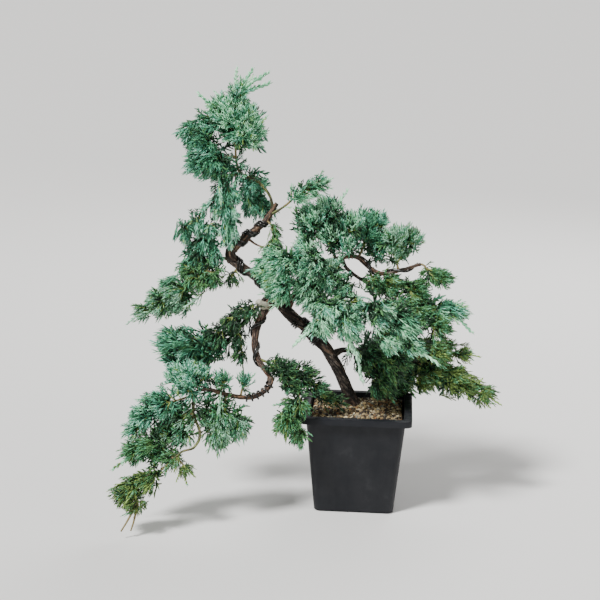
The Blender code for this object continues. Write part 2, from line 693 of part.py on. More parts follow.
def blade_part(root, tip, normal):
    # A flat pointed blade of six faces: its root point, a three-cornered belly and its tip.
    way = (tip - root).normalized()
    length = (tip - root).length
    across = way.cross(normal).normalized()
    face = across.cross(way)
    belly = root + way * (length * BLADE_BELLY)
    half_width = across * (length * BLADE_WIDTH / 2)
    thick = length * BLADE_THICK
    verts = [root, belly + half_width - face * thick / 3, belly + face * thick * 2 / 3,
             belly - half_width - face * thick / 3, tip]
    faces = [(0, 2, 1), (0, 3, 2), (0, 1, 3), (4, 1, 2), (4, 2, 3), (4, 3, 1)]
    return verts, faces


def blade_rods(root, tip):
    # The room that a blade takes, as four rods.
    half_width = (tip - root).length * BLADE_WIDTH / 2
    rods = []
    for start, end, part in BLADE_RODS:
        rods.append((root.lerp(tip, start), root.lerp(tip, end), half_width * part))
    return rods


def twig_part(path, radii):
    # A bare three-sided twig.
    verts = []
    for point, radius, (way, side, other) in zip(path, radii, frames_along(path)):
        for k in range(3):
            angle = 2 * math.pi * k / 3
            verts.append(point + (side * math.cos(angle) + other * math.sin(angle)) * radius)
    last = len(verts) - 3
    faces = [(2, 1, 0), (last, last + 1, last + 2)]
    for i in range(0, last, 3):
        for k in range(3):
            a = i + k
            b = i + (k + 1) % 3
            faces.append((a, b, b + 3, a + 3))
    return verts, faces


def core_part(centre, radius, rng):
    # A small lumpy ball of twenty faces.
    work = bmesh.new()
    bmesh.ops.create_icosphere(work, subdivisions=1, radius=radius)
    turn = Matrix.Rotation(rng.uniform(0, 6.0), 3, "Z") @ Matrix.Rotation(rng.uniform(0, 6.0), 3, "X")
    verts = [centre + turn @ (v.co * rng.uniform(*CORE_LUMPS)) for v in work.verts]
    faces = [tuple(v.index for v in f.verts) for f in work.faces]
    work.free()
    return verts, faces


def reach_in_ball(point, way, centre, radius):
    # How far a ray from the point runs before it leaves the ball.
    offset = point - centre
    along = offset.dot(way)
    under = along * along - offset.length_squared + radius * radius
    return max(0.0, math.sqrt(max(under, 0.0)) - along)


class Growth:
    # One foliage mass: one stem, an axis to each lobe, and blades that leave them by the golden angle.
    def __init__(self, name, room):
        self.name = name
        self.room = room
        self.mass = MASSES[name]
        self.rng = random.Random(name)
        self.sweep = Vector(self.mass["sweep"])
        self.parts = []
        self.axes = []

    def add_blade(self, root, tip):
        rods = blade_rods(root, tip)
        if not self.room.is_free(rods, self.name):
            return False
        roll = (self.rng.uniform(-BLADE_ROLL, BLADE_ROLL), self.rng.uniform(-BLADE_ROLL, BLADE_ROLL))
        normal = Vector((roll[0], -1.0, roll[1]))
        self.parts.append(blade_part(root, tip, normal))
        for i, rod in enumerate(rods):
            self.room.add(*rod, self.name, blade=i > 0)
        return True

    def try_blade(self, root, way, length):
        # Turned and shortened a little where its room is taken, or left out.
        for attempt in range(BLADE_TRIES):
            size = min(length, BLADE_LONGEST) * (1.0 - BLADE_SHRINK * attempt)
            if size < BLADE_SHORTEST:
                return
            aim = way.normalized()
            if attempt:
                swerve = [self.rng.uniform(-BLADE_SWERVE, BLADE_SWERVE) for axis in range(3)]
                aim = (aim + Vector(swerve)).normalized()
            if self.add_blade(root - aim * BLADE_SUNK, root + aim * size):
                return

    def nearest_on_axes(self, target):
        # The nearest place inside a twig, and the radius of a root that stays inside it.
        best = None
        for start, end, radius_start, radius_end in self.axes:
            span = end - start
            low = min(0.15, END_MARGIN / span.length)
            high = 1.0 - END_MARGIN / span.length
            t = min(max((target - start).dot(span) / span.length_squared, low), max(high, 0.5))
            place = start + span * t
            if best is None or (place - target).length < (best[0] - target).length:
                best = (place, (radius_start + (radius_end - radius_start) * t) * ROOT_SHARE)
        return best

    def grow_stem(self):
        root, way = mass_root(self.mass)
        heart = Vector(self.mass["lobes"][0][:3])
        first, last = STEM_RADIUS
        elbow = root + way * min(STEM_ELBOW, (heart - root).length * ELBOW_SHARE)
        self.parts.append(twig_part([root, elbow, heart], [first, first, last]))
        self.room.add(root, elbow, first, self.name)
        self.room.add(elbow, heart, first, self.name)
        self.axes = [(elbow, heart, first, last)]

    def grow_axes(self):
        # From the nearest axis to each further lobe's centre.
        for x, y, z, radius in self.mass["lobes"][1:]:
            centre = Vector((x, y, z))
            entry, root_radius = self.nearest_on_axes(centre)
            self.parts.append(twig_part([entry, centre], [root_radius, AXIS_END_RADIUS]))
            self.room.add(entry, centre, AXIS_END_RADIUS, self.name)
            self.axes.append((entry, centre, root_radius, AXIS_END_RADIUS))

    def grow_lobe(self, lobe, axis):
        centre = Vector(lobe[:3])
        radius = lobe[3]
        entry, end = axis[:2]
        span = (end - entry).length
        forward = (end - entry).normalized()
        end_way = (forward * END_FORWARD_LEAN + self.sweep).normalized()
        tip_root = end - forward * END_MARGIN
        length = reach_in_ball(tip_root, end_way, centre, radius * LOBE_REACH[1])
        self.try_blade(tip_root, end_way, length)
        sides = max(BLADES_LEAST, round(BLADES_PER_AREA * radius * radius))
        side = forward.orthogonal().normalized()
        other = forward.cross(side)
        start = self.rng.uniform(0, 2 * math.pi)
        first = max(span * 0.2, span - radius * LOBE_START)
        for k in range(sides):
            angle = start + GOLDEN_ANGLE * k
            out = side * math.cos(angle) + other * math.sin(angle)
            place = entry + forward * (first + (span - END_MARGIN - first) * k / sides)
            way = (out + forward * FORWARD_LEAN + self.sweep * SWEEP_LEAN).normalized()
            length = reach_in_ball(place, way, centre, radius * self.rng.uniform(*LOBE_REACH))
            self.try_blade(place, way, length)

    def grow_shoot(self, tip):
        # A twig to the foot of a blade that ends at the tip.
        tip = Vector(tip)
        root, root_radius = self.nearest_on_axes(tip)
        way = (tip - root).normalized()
        length = (tip - root).length
        if length <= BLADE_LONGEST:
            self.add_blade(root, tip)
            return
        foot = tip - way * BLADE_LONGEST
        if self.room.is_free([(root.lerp(foot, 0.3), foot, STALK_RADIUS)], self.name):
            if self.add_blade(foot, tip):
                joint = foot + way * (BLADE_LONGEST * BLADE_BELLY * 0.6)
                self.parts.append(twig_part([root, joint], [root_radius, STALK_RADIUS]))
                self.room.add(root, joint, STALK_RADIUS, self.name)
                self.axes.append((root, joint, root_radius, STALK_RADIUS))

    def grow_bare_shoot(self, tip):
        tip = Vector(tip)
        root, root_radius = self.nearest_on_axes(tip)
        self.parts.append(twig_part([root, tip], [root_radius, STALK_RADIUS]))
        self.room.add(root, tip, STALK_RADIUS, self.name)

    def grow_core(self, lobe):
        # As large as its room allows, down to half, or left out.
        centre = Vector(lobe[:3])
        for share in CORE_SIZES:
            radius = lobe[3] * share
            if self.room.is_free([(centre, centre, radius * CORE_LUMPS[1])], self.name):
                self.parts.append(core_part(centre, radius, self.rng))
                self.room.add(centre, centre, radius * CORE_LUMPS[1], self.name)
                return

    def grow(self):
        self.grow_stem()
        self.grow_axes()
        lobes = self.mass["lobes"]
        for lobe in lobes:
            if self.mass["core"] and lobe[3] > CORE_LEAST:
                self.grow_core(lobe)
        for tip in self.mass["shoots"]:
            self.grow_shoot(tip)
        for tip in self.mass.get("bare_shoots", []):
            self.grow_bare_shoot(tip)
        for lobe, axis in zip(lobes, self.axes):
            self.grow_lobe(lobe, axis)


def build_mass(name, room):
    growth = Growth(name, room)
    growth.grow()
    base = add_object(name, mesh_of(name, *growth.parts[0]), MASSES[name]["colour"])
    joined = bpy.data.collections.new(name + "_parts")
    bpy.context.scene.collection.children.link(joined)
    for i, (verts, faces) in enumerate(growth.parts[1:]):
        piece = bpy.data.objects.new(f"{name}_part_{i}", mesh_of(f"{name}_part_{i}", verts, faces))
        joined.objects.link(piece)
    union = base.modifiers.new("join", "BOOLEAN")
    union.operation = "UNION"
    union.solver = "EXACT"
    union.operand_type = "COLLECTION"
    union.collection = joined
    apply_modifiers(base)
    for piece in list(joined.objects):
        bpy.data.objects.remove(piece, do_unlink=True)
    bpy.data.collections.remove(joined)
    keep_main_body(base.data)
    return base


def apply_modifiers(obj):
    bpy.context.view_layer.update()
    evaluated = obj.evaluated_get(bpy.context.evaluated_depsgraph_get())
    baked = bpy.data.meshes.new_from_object(evaluated)
    obj.modifiers.clear()
    old = obj.data
    obj.data = baked
    bpy.data.meshes.remove(old)
    baked.name = obj.name


def keep_main_body(mesh):
    # Drops loose scraps and the skins of hollows that the union sealed.
    work = bmesh.new()
    work.from_mesh(mesh)
    work.verts.index_update()
    seen = set()
    groups = []
    for vert in work.verts:
        if vert.index in seen:
            continue
        group = []
        waiting = [vert]
        seen.add(vert.index)
        while waiting:
            here = waiting.pop()
            group.append(here)
            for edge in here.link_edges:
                other = edge.other_vert(here)
                if other.index not in seen:
                    seen.add(other.index)
                    waiting.append(other)
        groups.append(group)
    groups.sort(key=len)
    extra = [vert for group in groups[:-1] for vert in group]
    bmesh.ops.delete(work, geom=extra, context="VERTS")
    bmesh.ops.triangulate(work, faces=work.faces[:])
    work.to_mesh(mesh)
    work.free()


# Pot and soil

def square_ring(half, corner, z):
    # A level square with rounded corners.
    ring = []
    for quarter in range(4):
        turn = math.pi / 2 * quarter
        for k in range(CORNER_STEPS + 1):
            angle = turn + math.pi / 2 * k / CORNER_STEPS
            cx = math.copysign(half - corner, math.cos(turn + math.pi / 4))
            cy = math.copysign(half - corner, math.sin(turn + math.pi / 4))
            ring.append((cx + corner * math.cos(angle), cy + corner * math.sin(angle), z))
    return ring


def ring_stack(name, rings):
    # Closed skin through a stack of level rings, capped at both ends.
    count = len(rings[0])
    verts = [v for ring in rings for v in ring]
    faces = []
    for i in range(len(rings) - 1):
        for k in range(count):
            a = i * count + k
            b = i * count + (k + 1) % count
            faces.append((a, b, b + count, a + count))
    faces.append(tuple(reversed(range(count))))
    last = (len(rings) - 1) * count
    faces.append(tuple(range(last, last + count)))
    return mesh_of(name, verts, faces)


def inner_half(z):
    # Half width of the pot's inside at a height.
    top = POT_INNER_TOP / 2
    bottom = POT_WALL_BOTTOM / 2 - (POT_WALL_TOP - POT_INNER_TOP) / 2
    return bottom + (top - bottom) * z / POT_HEIGHT


def build_pot():
    skirt_bottom = POT_HEIGHT - RIM_SKIRT
    floor_top = FOOT_HEIGHT + FLOOR_THICK
    rings = [
        square_ring(POT_WALL_BOTTOM / 2 - FOOT_INSET, CORNER, 0.0),
        square_ring(POT_WALL_BOTTOM / 2 - FOOT_INSET, CORNER, FOOT_HEIGHT),
        square_ring(POT_WALL_BOTTOM / 2, CORNER, FOOT_HEIGHT),
        square_ring(POT_WALL_TOP / 2, CORNER, POT_HEIGHT - RIM_SHEET),
        square_ring(POT_RIM / 2 - RIM_SHEET, CORNER - 1.0, POT_HEIGHT - RIM_SHEET),
        square_ring(POT_RIM / 2 - RIM_SHEET, CORNER - 1.0, skirt_bottom),
        square_ring(POT_RIM / 2, CORNER, skirt_bottom),
        square_ring(POT_RIM / 2, CORNER, POT_HEIGHT - RIM_CHAMFER),
        square_ring(POT_RIM / 2 - RIM_CHAMFER, CORNER, POT_HEIGHT),
        square_ring(inner_half(POT_HEIGHT), CORNER, POT_HEIGHT),
        square_ring(inner_half(floor_top), CORNER, floor_top),
    ]
    pot = add_object("pot", ring_stack("pot", rings), "pot_plastic")
    # A drain notch in the middle of each side of the foot.
    reach = POT_WALL_BOTTOM / 2
    size = (NOTCH_DEPTH + 2 * NOTCH_PROUD, NOTCH_WIDTH, FOOT_HEIGHT + 2 * NOTCH_PROUD)
    for i in range(4):
        middle = Vector((reach - NOTCH_DEPTH / 2 + NOTCH_PROUD, 0, FOOT_HEIGHT / 2 - NOTCH_PROUD))
        middle.rotate(Matrix.Rotation(math.pi / 2 * i, 3, "Z"))
        notch = box_object(f"drain_notch_{i}", middle, size, math.pi / 2 * i)
        mark_cutter(notch)
        cut(pot, notch)
    return pot


def box_object(name, middle, size, turn):
    work = bmesh.new()
    bmesh.ops.create_cube(work, size=1.0)
    bmesh.ops.scale(work, vec=Vector(size) * MM, verts=work.verts)
    bmesh.ops.rotate(work, matrix=Matrix.Rotation(turn, 3, "Z"), verts=work.verts)
    bmesh.ops.translate(work, vec=middle * MM, verts=work.verts)
    mesh = bpy.data.meshes.new(name)
    work.to_mesh(mesh)
    work.free()
    return add_object(name, mesh, None)


def build_soil():
    bottom = FOOT_HEIGHT + FLOOR_THICK + GAP
    inset = GAP * 1.05
    rings = [
        square_ring(inner_half(bottom) - inset, CORNER - inset, bottom),
        square_ring(inner_half(SOIL_TOP) - inset, CORNER - inset, SOIL_TOP),
    ]
    return add_object("soil", ring_stack("soil", rings), "soil_grit")


def main():
    clear_scene()
    room = Room()
    build_pot()
    build_soil()
    for name in LIMBS:
        build_limb(name, room)
    for name in WIRES:
        build_wire(name, room)
    for name in MASSES:
        build_mass(name, room)


main()
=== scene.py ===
import math
import random

import bpy
import numpy as np
from mathutils import Matrix, Vector, noise


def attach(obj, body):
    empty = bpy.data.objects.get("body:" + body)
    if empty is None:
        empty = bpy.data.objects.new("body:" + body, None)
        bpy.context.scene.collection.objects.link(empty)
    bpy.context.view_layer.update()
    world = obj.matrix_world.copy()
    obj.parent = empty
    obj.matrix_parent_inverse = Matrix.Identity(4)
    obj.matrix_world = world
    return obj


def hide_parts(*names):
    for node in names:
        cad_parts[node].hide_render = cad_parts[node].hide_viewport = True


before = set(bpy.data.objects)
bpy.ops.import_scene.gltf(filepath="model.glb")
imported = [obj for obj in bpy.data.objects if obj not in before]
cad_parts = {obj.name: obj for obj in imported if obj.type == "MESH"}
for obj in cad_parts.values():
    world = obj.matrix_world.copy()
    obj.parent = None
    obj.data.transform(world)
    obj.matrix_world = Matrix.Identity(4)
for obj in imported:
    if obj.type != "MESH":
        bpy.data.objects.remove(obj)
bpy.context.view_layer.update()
bpy.ops.object.select_all(action="DESELECT")

# Routes, radii and lobes are in millimetres, as the solids were drawn.
mm = 0.001
goldenAngle = math.pi * (3.0 - math.sqrt(5.0))

view = {"yaw": 3.7, "pitch": 12.0, "roll": 1.3, "distance": 1.8, "target": (-0.071, 0.0, 0.2427),
        "focalPixels": 1535.0, "framePixels": 600.0}


def addCamera():
    yaw = math.radians(view["yaw"])
    pitch = math.radians(view["pitch"])
    roll = math.radians(view["roll"])
    back = Vector((math.sin(yaw) * math.cos(pitch), -math.cos(yaw) * math.cos(pitch), math.sin(pitch)))
    right = (-back).cross(Vector((0, 0, 1))).normalized()
    up = right.cross(-back)
    rolledRight = right * math.cos(roll) + up * math.sin(roll)
    rolledUp = up * math.cos(roll) - right * math.sin(roll)
    turn = Matrix((rolledRight, rolledUp, back)).transposed().to_4x4()
    bpy.ops.object.camera_add()
    camera = bpy.context.object
    camera.matrix_world = Matrix.Translation(Vector(view["target"]) + back * view["distance"]) @ turn
    camera.data.sensor_width = 36.0
    camera.data.lens = 36.0 * view["focalPixels"] / view["framePixels"]
    bpy.context.scene.camera = camera


studio = {
    "floorSize": 160.0, "floorColour": (0.80, 0.79, 0.77), "worldColour": (1.0, 0.99, 0.97),
    "worldStrength": 0.28,
    "sun": {"from": (-0.93, -1.1, 1.76), "power": 5.5, "angle": 13.0},
    "lights": [
        {"name": "fillLight", "place": (1.6, -1.1, 1.0), "size": 1.4, "power": 9.0},
        {"name": "backLight", "place": (0.5, 1.6, 1.5), "size": 1.2, "power": 20.0},
    ],
}


def addLight(kind, name, place, aim, power):
    bpy.ops.object.light_add(type=kind, location=place)
    light = bpy.context.object
    light.name = name
    light.data.energy = power
    light.rotation_euler = aim.to_track_quat("-Z", "Y").to_euler()
    return light.data


def addStudio():
    for plan in studio["lights"]:
        aim = Vector(view["target"]) - Vector(plan["place"])
        lamp = addLight("AREA", plan["name"], plan["place"], aim, plan["power"])
        lamp.shape = "DISK"
        lamp.size = plan["size"]
    sun = studio["sun"]
    lamp = addLight("SUN", "keyLight", sun["from"], -Vector(sun["from"]), sun["power"])
    lamp.angle = math.radians(sun["angle"])
    world = bpy.data.worlds.new("softSky")
    world.use_nodes = True
    sky = world.node_tree.nodes["Background"]
    sky.inputs["Color"].default_value = (*studio["worldColour"], 1.0)
    sky.inputs["Strength"].default_value = studio["worldStrength"]
    bpy.context.scene.world = world
    bpy.ops.mesh.primitive_plane_add(size=studio["floorSize"])
    floor = bpy.context.object
    floor.name = "floor"
    paint = newMaterial("paleFloor", studio["floorColour"], 0.7)
    floor.data.materials.append(paint)


def newMaterial(name, colour, roughness):
    made = bpy.data.materials.new(name)
    made.use_nodes = True
    shader = made.node_tree.nodes["Principled BSDF"]
    shader.inputs["Base Color"].default_value = (*colour, 1.0)
    shader.inputs["Roughness"].default_value = roughness
    return made


def addNode(material, kind, **values):
    node = material.node_tree.nodes.new(kind)
    for key, value in values.items():
        if hasattr(node, key):
            setattr(node, key, value)
        else:
            node.inputs[key].default_value = value
    return node


def join(material, source, output, target, entry):
    material.node_tree.links.new(source.outputs[output], target.inputs[entry])


def addRamp(material, stops):
    ramp = material.node_tree.nodes.new("ShaderNodeValToRGB")
    while len(ramp.color_ramp.elements) < len(stops):
        ramp.color_ramp.elements.new(0.5)
    for element, (place, colour) in zip(ramp.color_ramp.elements, stops):
        element.position = place
        element.color = (*colour, 1.0)
    return ramp


def addMix(material, blend, amount):
    mix = material.node_tree.nodes.new("ShaderNodeMix")
    mix.data_type = "RGBA"
    mix.blend_type = blend
    mix.inputs[0].default_value = amount
    return mix


def finishPiece(piece, slot, *nodes):
    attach(piece, "root")
    if nodes:
        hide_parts(*nodes)


# Limbs: centre lines from the seat to the tip, with radii spread evenly along them. "bark" is the slot,
# and "look" a finish other than the slot's own.
limbs = {
    "trunk": {
        "route": [(-6, 20, 112), (-15, 16, 136), (-28, 12, 165), (-43, 8, 188), (-61, 4, 206),
                  (-80, 0, 223), (-94, -3, 237), (-105, -4, 253), (-122, -3, 268), (-152, 0, 288)],
        "radii": [7.4, 7.0, 7.2, 7.6, 7.2, 6.6, 5.6, 5.2, 5.6], "seat": None, "bark": "bark",
        "lumps": [0.05, 0.10, 0.22, 0.32, 0.28, 0.32, 0.36], "swirl": 0.030,
    },
    "upper_trunk": {
        "route": [(-150, 0, 286), (-154, 1, 296), (-146, 1, 306), (-135, 3, 316), (-121, 5, 327),
                  (-111, 7, 338), (-101, 8, 355)],
        "radii": [5.0, 5.3, 5.0, 4.5, 3.8, 3.1, 2.5], "seat": "trunk", "bark": "young_bark",
        "lumps": [0.16, 0.10, 0.09, 0.08], "swirl": 0.03,
    },
    "leader": {
        "route": [(-105, 8, 346), (-110, 9, 364), (-124, 12, 379), (-138, 12, 385), (-147, 11, 392),
                  (-150, 10, 408)],
        "radii": [1.9, 1.7, 1.6, 1.5, 1.4], "seat": "upper_trunk", "bark": "bark", "look": "green_stem",
    },
    "left_arch": {
        "route": [(-143, 12, 388), (-157, 7, 384), (-167, 3, 372), (-170, -1, 360), (-180, -6, 350)],
        "radii": [1.3, 1.2, 1.1, 1.0], "seat": "leader", "bark": "green_stem",
    },
    "right_shoot": {
        "route": [(-108, 7, 342), (-99, 6, 347), (-91, 4, 353)],
        "radii": [1.5, 1.4, 1.3], "seat": "upper_trunk", "bark": "green_stem",
    },
    "left_upper": {
        "route": [(-150, 0, 288), (-165, -3, 290), (-181, -12, 288), (-187, -17, 277), (-191, -19, 266)],
        "radii": [1.9, 1.8, 1.5, 1.3], "seat": "trunk", "bark": "green_stem",
    },
    "right_thin": {
        "route": [(-136, 3, 315), (-124, 1, 307), (-108, -3, 302), (-99, -6, 301)],
        "radii": [1.4, 1.2, 1.1], "seat": "upper_trunk", "bark": "young_bark",
    },
    "cascade_upper": {
        "route": [(-99, -3, 243), (-107, -14, 238), (-114, -22, 227), (-119, -31, 211), (-120, -37, 195),
                  (-115, -43, 180), (-106, -49, 169), (-99, -53, 161)],
        "radii": [5.0, 4.8, 4.4, 4.2, 3.9, 3.5, 3.1], "seat": "trunk", "bark": "bark",
        "look": "cascade_bark", "lumps": [0.12, 0.10, 0.10, 0.08], "swirl": 0.03,
    },
    "cascade_middle": {
        "route": [(-99, -53, 162), (-101, -60, 152), (-110, -66, 145), (-124, -73, 142), (-147, -84, 148),
                  (-170, -94, 156), (-186, -100, 149)],
        "radii": [3.0, 2.9, 2.7, 2.5, 2.3, 2.0], "seat": "cascade_upper", "bark": "young_bark",
        "lumps": [0.08, 0.08, 0.06], "swirl": 0.04,
    },
    "cascade_lower": {
        "route": [(-182, -99, 152), (-181, -106, 129), (-173, -113, 110), (-178, -122, 96),
                  (-192, -127, 91), (-206, -134, 78)],
        "radii": [1.9, 1.8, 1.6, 1.4, 1.2], "seat": "cascade_middle", "bark": "green_stem",
    },
    "dead_stub": {
        "route": [(-108, -15, 236), (-114, -24, 241), (-118, -28, 245)],
        "radii": [3.8, 4.2, 3.5], "seat": "cascade_upper", "bark": "deadwood",
    },
    "left_middle": {
        "route": [(-105, -4, 250), (-114, -9, 242), (-126, -18, 228), (-139, -26, 213),
                  (-152, -30, 197), (-163, -32, 188)],
        "radii": [2.3, 2.2, 2.0, 1.7, 1.4], "seat": "trunk", "bark": "bark",
    },
    "pot_side": {
        "route": [(-115, -43, 180), (-104, -44, 177), (-92, -46, 169), (-77, -50, 163), (-66, -54, 157)],
        "radii": [1.5, 1.3, 1.2, 1.1], "seat": "cascade_upper", "bark": "green_stem",
    },
    "right_bough": {
        "route": [(-88, 0, 229), (-77, 11, 249), (-64, 16, 267), (-48, 20, 283), (-28, 22, 290),
                  (-8, 25, 292), (9, 26, 279), (25, 25, 273), (46, 24, 278), (69, 24, 286)],
        "radii": [4.0, 3.8, 3.4, 3.0, 2.8, 2.5, 2.3, 2.0], "seat": "trunk", "bark": "young_bark",
        "lumps": [0.08, 0.08, 0.06], "swirl": 0.03,
    },
    "inner_bough": {
        "route": [(-25, 22, 290), (-18, 28, 277), (0, 33, 263), (28, 36, 250), (52, 34, 241),
                  (78, 29, 237)],
        "radii": [2.4, 2.1, 1.8, 1.5, 1.3], "seat": "right_bough", "bark": "bark",
    },
    "front_bough": {
        "route": [(-61, 4, 206), (-54, -14, 217), (-38, -34, 229), (-16, -50, 240), (-2, -58, 244)],
        "radii": [2.9, 2.6, 2.2, 1.8], "seat": "trunk", "bark": "bark",
    },
    "low_bough": {
        "route": [(-33, 11, 174), (-21, 20, 179), (-2, 33, 176), (19, 43, 170), (43, 46, 164),
                  (70, 38, 162)],
        "radii": [3.4, 3.0, 2.5, 2.1, 1.7], "seat": "trunk", "bark": "bark",
    },
}

barkRelief = {
    "step": 0.22, "finestStep": 0.7, "sidesByRadius": [(5.0, 44), (2.4, 26), (0.0, 14)],
    "fibre": 0.20, "crack": 0.10, "fine": 0.05, "defaultLumps": [0.05, 0.05], "swirl": 0.02,
    "rootFlare": 2.6, "flareHeight": 9.0, "collar": 0.45, "collarReach": 1.6, "soilTop": 112.0,
    "grainAlong": 0.28, "reliefMiddle": 0.5, "reliefGain": 4.5,
}


def smoothRoute(points, step):
    # A Catmull-Rom curve through the points, sampled about every step.
    pts = [Vector(p) for p in points]
    ends = [pts[0] * 2 - pts[1]] + pts + [pts[-1] * 2 - pts[-2]]
    out = []
    for i in range(1, len(ends) - 2):
        a, b, c, d = ends[i - 1:i + 3]
        count = max(1, round((c - b).length / step))
        for k in range(count):
            t = k / count
            out.append(0.5 * ((2 * b) + (c - a) * t + (2 * a - 5 * b + 4 * c - d) * t * t
                              + (3 * b - a - 3 * c + d) * t ** 3))
    out.append(pts[-1])
    return out


def lengthsAlong(points):
    total = [0.0]
    for a, b in zip(points, points[1:]):
        total.append(total[-1] + (b - a).length)
    return total


def spreadValue(values, t):
    place = min(max(t, 0.0), 1.0) * (len(values) - 1)
    i = min(int(place), len(values) - 2)
    return values[i] + (values[i + 1] - values[i]) * (place - i)


def limbLine(name, step):
    plan = limbs[name]
    points = smoothRoute(plan["route"], step)
    along = lengthsAlong(points)
    radii = [spreadValue(plan["radii"], s / along[-1]) for s in along]
    if name == "trunk":
        for i, point in enumerate(points):
            rise = (point.z - barkRelief["soilTop"]) / barkRelief["flareHeight"]
            radii[i] += barkRelief["rootFlare"] * math.exp(-rise)
    return points, radii, along


coarseStep = 6.0
coarseLines = {name: limbLine(name, coarseStep) for name in limbs}


def closestOnLimb(name, target):
    points, radii, along = coarseLines[name]
    best = None
    for i in range(len(points) - 1):
        span = points[i + 1] - points[i]
        t = min(max((target - points[i]).dot(span) / span.length_squared, 0.0), 1.0)
        place = points[i] + span * t
        gap = (target - place).length
        if best is None or gap < best[0]:
            best = (gap, place, radii[i] + (radii[i + 1] - radii[i]) * t, span.normalized())
    return best[1:]


def tubeFromRoute(name, points, radii, sides):
    # A round curve along the route, turned into a mesh with its rings in order.
    curve = bpy.data.curves.new(name, "CURVE")
    curve.dimensions = "3D"
    curve.bevel_depth = mm
    curve.bevel_resolution = (sides - 4) // 2
    spline = curve.splines.new("POLY")
    spline.points.add(len(points) - 1)
    for place, point, radius in zip(spline.points, points, radii):
        place.co = (*(point * mm), 1.0)
        place.radius = radius
    piece = bpy.data.objects.new(name, curve)
    bpy.context.scene.collection.objects.link(piece)
    bpy.ops.object.select_all(action="DESELECT")
    piece.select_set(True)
    bpy.context.view_layer.objects.active = piece
    bpy.ops.object.convert(target="MESH")
    bpy.ops.object.mode_set(mode="EDIT")
    bpy.ops.mesh.select_all(action="SELECT")
    bpy.ops.mesh.fill_holes(sides=0)
    bpy.ops.object.mode_set(mode="OBJECT")
    return bpy.context.object


def makeLimb(name):
    plan = limbs[name]
    widest = max(plan["radii"])
    step = max(barkRelief["finestStep"], widest * barkRelief["step"])
    points, radii, along = limbLine(name, step)
    sides = next(count for least, count in barkRelief["sidesByRadius"] if widest >= least)
    lumps = plan.get("lumps", barkRelief["defaultLumps"])
    swirl = plan.get("swirl", barkRelief["swirl"])
    if plan["seat"]:
        # The collar where a bough swells into the limb that carries it.
        seatRadius = closestOnLimb(plan["seat"], points[0])[1]
        for i, s in enumerate(along):
            clear = max(0.0, s - seatRadius)
            fade = radii[0] * barkRelief["collarReach"]
            radii[i] *= 1.0 + barkRelief["collar"] * math.exp(-clear / fade)
    piece = tubeFromRoute("bark_" + name, points, radii, sides)
    mesh = piece.data
    count = len(mesh.vertices)
    ring = count // len(points)
    co = np.empty(count * 3, dtype=np.float32)
    mesh.vertices.foreach_get("co", co)
    co = co.reshape(-1, 3)
    grain = np.zeros((count, 3), dtype=np.float32)
    relief = np.zeros(count, dtype=np.float32)
    seed = sum(ord(letter) for letter in name) * 1.7
    girth = 2.3 * widest / 5
    for i in range(len(points)):
        centre = np.array(points[i]) * mm
        r = radii[i]
        s = along[i]
        lump = spreadValue(lumps, s / along[-1])
        for k in range(ring):
            index = i * ring + k
            angle = 2 * math.pi * k / ring + s * swirl
            x = math.cos(angle)
            y = math.sin(angle)
            # Broad lumps, furrows along the limb, short cracks across it and a fine grain.
            low = noise.noise(Vector((x * 1.1 + seed, y * 1.1, s * 0.055)))
            fibre = 1.0 - 2.2 * abs(noise.noise(Vector((x * girth + seed, y * girth, s * 0.045))))
            crack = 1.0 - 2.2 * abs(noise.noise(Vector((x * r * 0.5, y * r * 0.5 + seed, s * 0.20))))
            fine = noise.noise(Vector((x * r * 1.3, y * r * 1.3 + seed, s * 0.55)))
            height = lump * low - barkRelief["fibre"] * fibre ** 3
            height += barkRelief["fine"] * fine - barkRelief["crack"] * max(0.0, crack) ** 3
            co[index] = centre + (co[index] - centre) * (1.0 + height)
            grain[index] = (x * r, y * r, s * barkRelief["grainAlong"])
            # The relief attribute is low in furrows and cracks and high on ridges; the bark finish turns it
            # into painted shade and a painted highlight.
            depth = height - lump * low * 0.5
            relief[index] = barkRelief["reliefMiddle"] + barkRelief["reliefGain"] * depth
    mesh.vertices.foreach_set("co", co.ravel())
    mesh.attributes.new("grain", "FLOAT_VECTOR", "POINT").data.foreach_set("vector", grain.ravel())
    mesh.attributes.new("relief", "FLOAT", "POINT").data.foreach_set("value", np.clip(relief, 0, 1))
    mesh.polygons.foreach_set("use_smooth", [True] * len(mesh.polygons))
    mesh.update()
    mesh.materials.append(barkMaterials[plan.get("look", plan["bark"])])
    finishPiece(piece, plan["bark"], name)


barkFinishes = {
    "bark": {"dark": (0.012, 0.009, 0.007), "body": (0.062, 0.045, 0.035), "pale": (0.40, 0.345, 0.285),
             "patch": (0.135, 0.080, 0.050), "roughness": 0.85, "scale": 0.42},
    "young_bark": {"dark": (0.035, 0.018, 0.010), "body": (0.235, 0.125, 0.068), "pale": (0.50, 0.36, 0.26),
                   "patch": (0.15, 0.115, 0.090), "roughness": 0.72, "scale": 0.55},
    "green_stem": {"dark": (0.070, 0.080, 0.022), "body": (0.26, 0.31, 0.085), "pale": (0.44, 0.46, 0.17),
                   "patch": (0.20, 0.135, 0.055), "roughness": 0.6, "scale": 0.8},
    "cascade_bark": {"dark": (0.025, 0.014, 0.009), "body": (0.15, 0.088, 0.060),
                     "pale": (0.42, 0.31, 0.24), "patch": (0.27, 0.135, 0.080), "roughness": 0.8,
                     "scale": 0.48},
    "deadwood": {"dark": (0.38, 0.35, 0.25), "body": (0.76, 0.73, 0.57), "pale": (0.86, 0.84, 0.72),
                 "patch": (0.62, 0.58, 0.42), "roughness": 0.75, "scale": 0.7, "shading": 0.3},
}


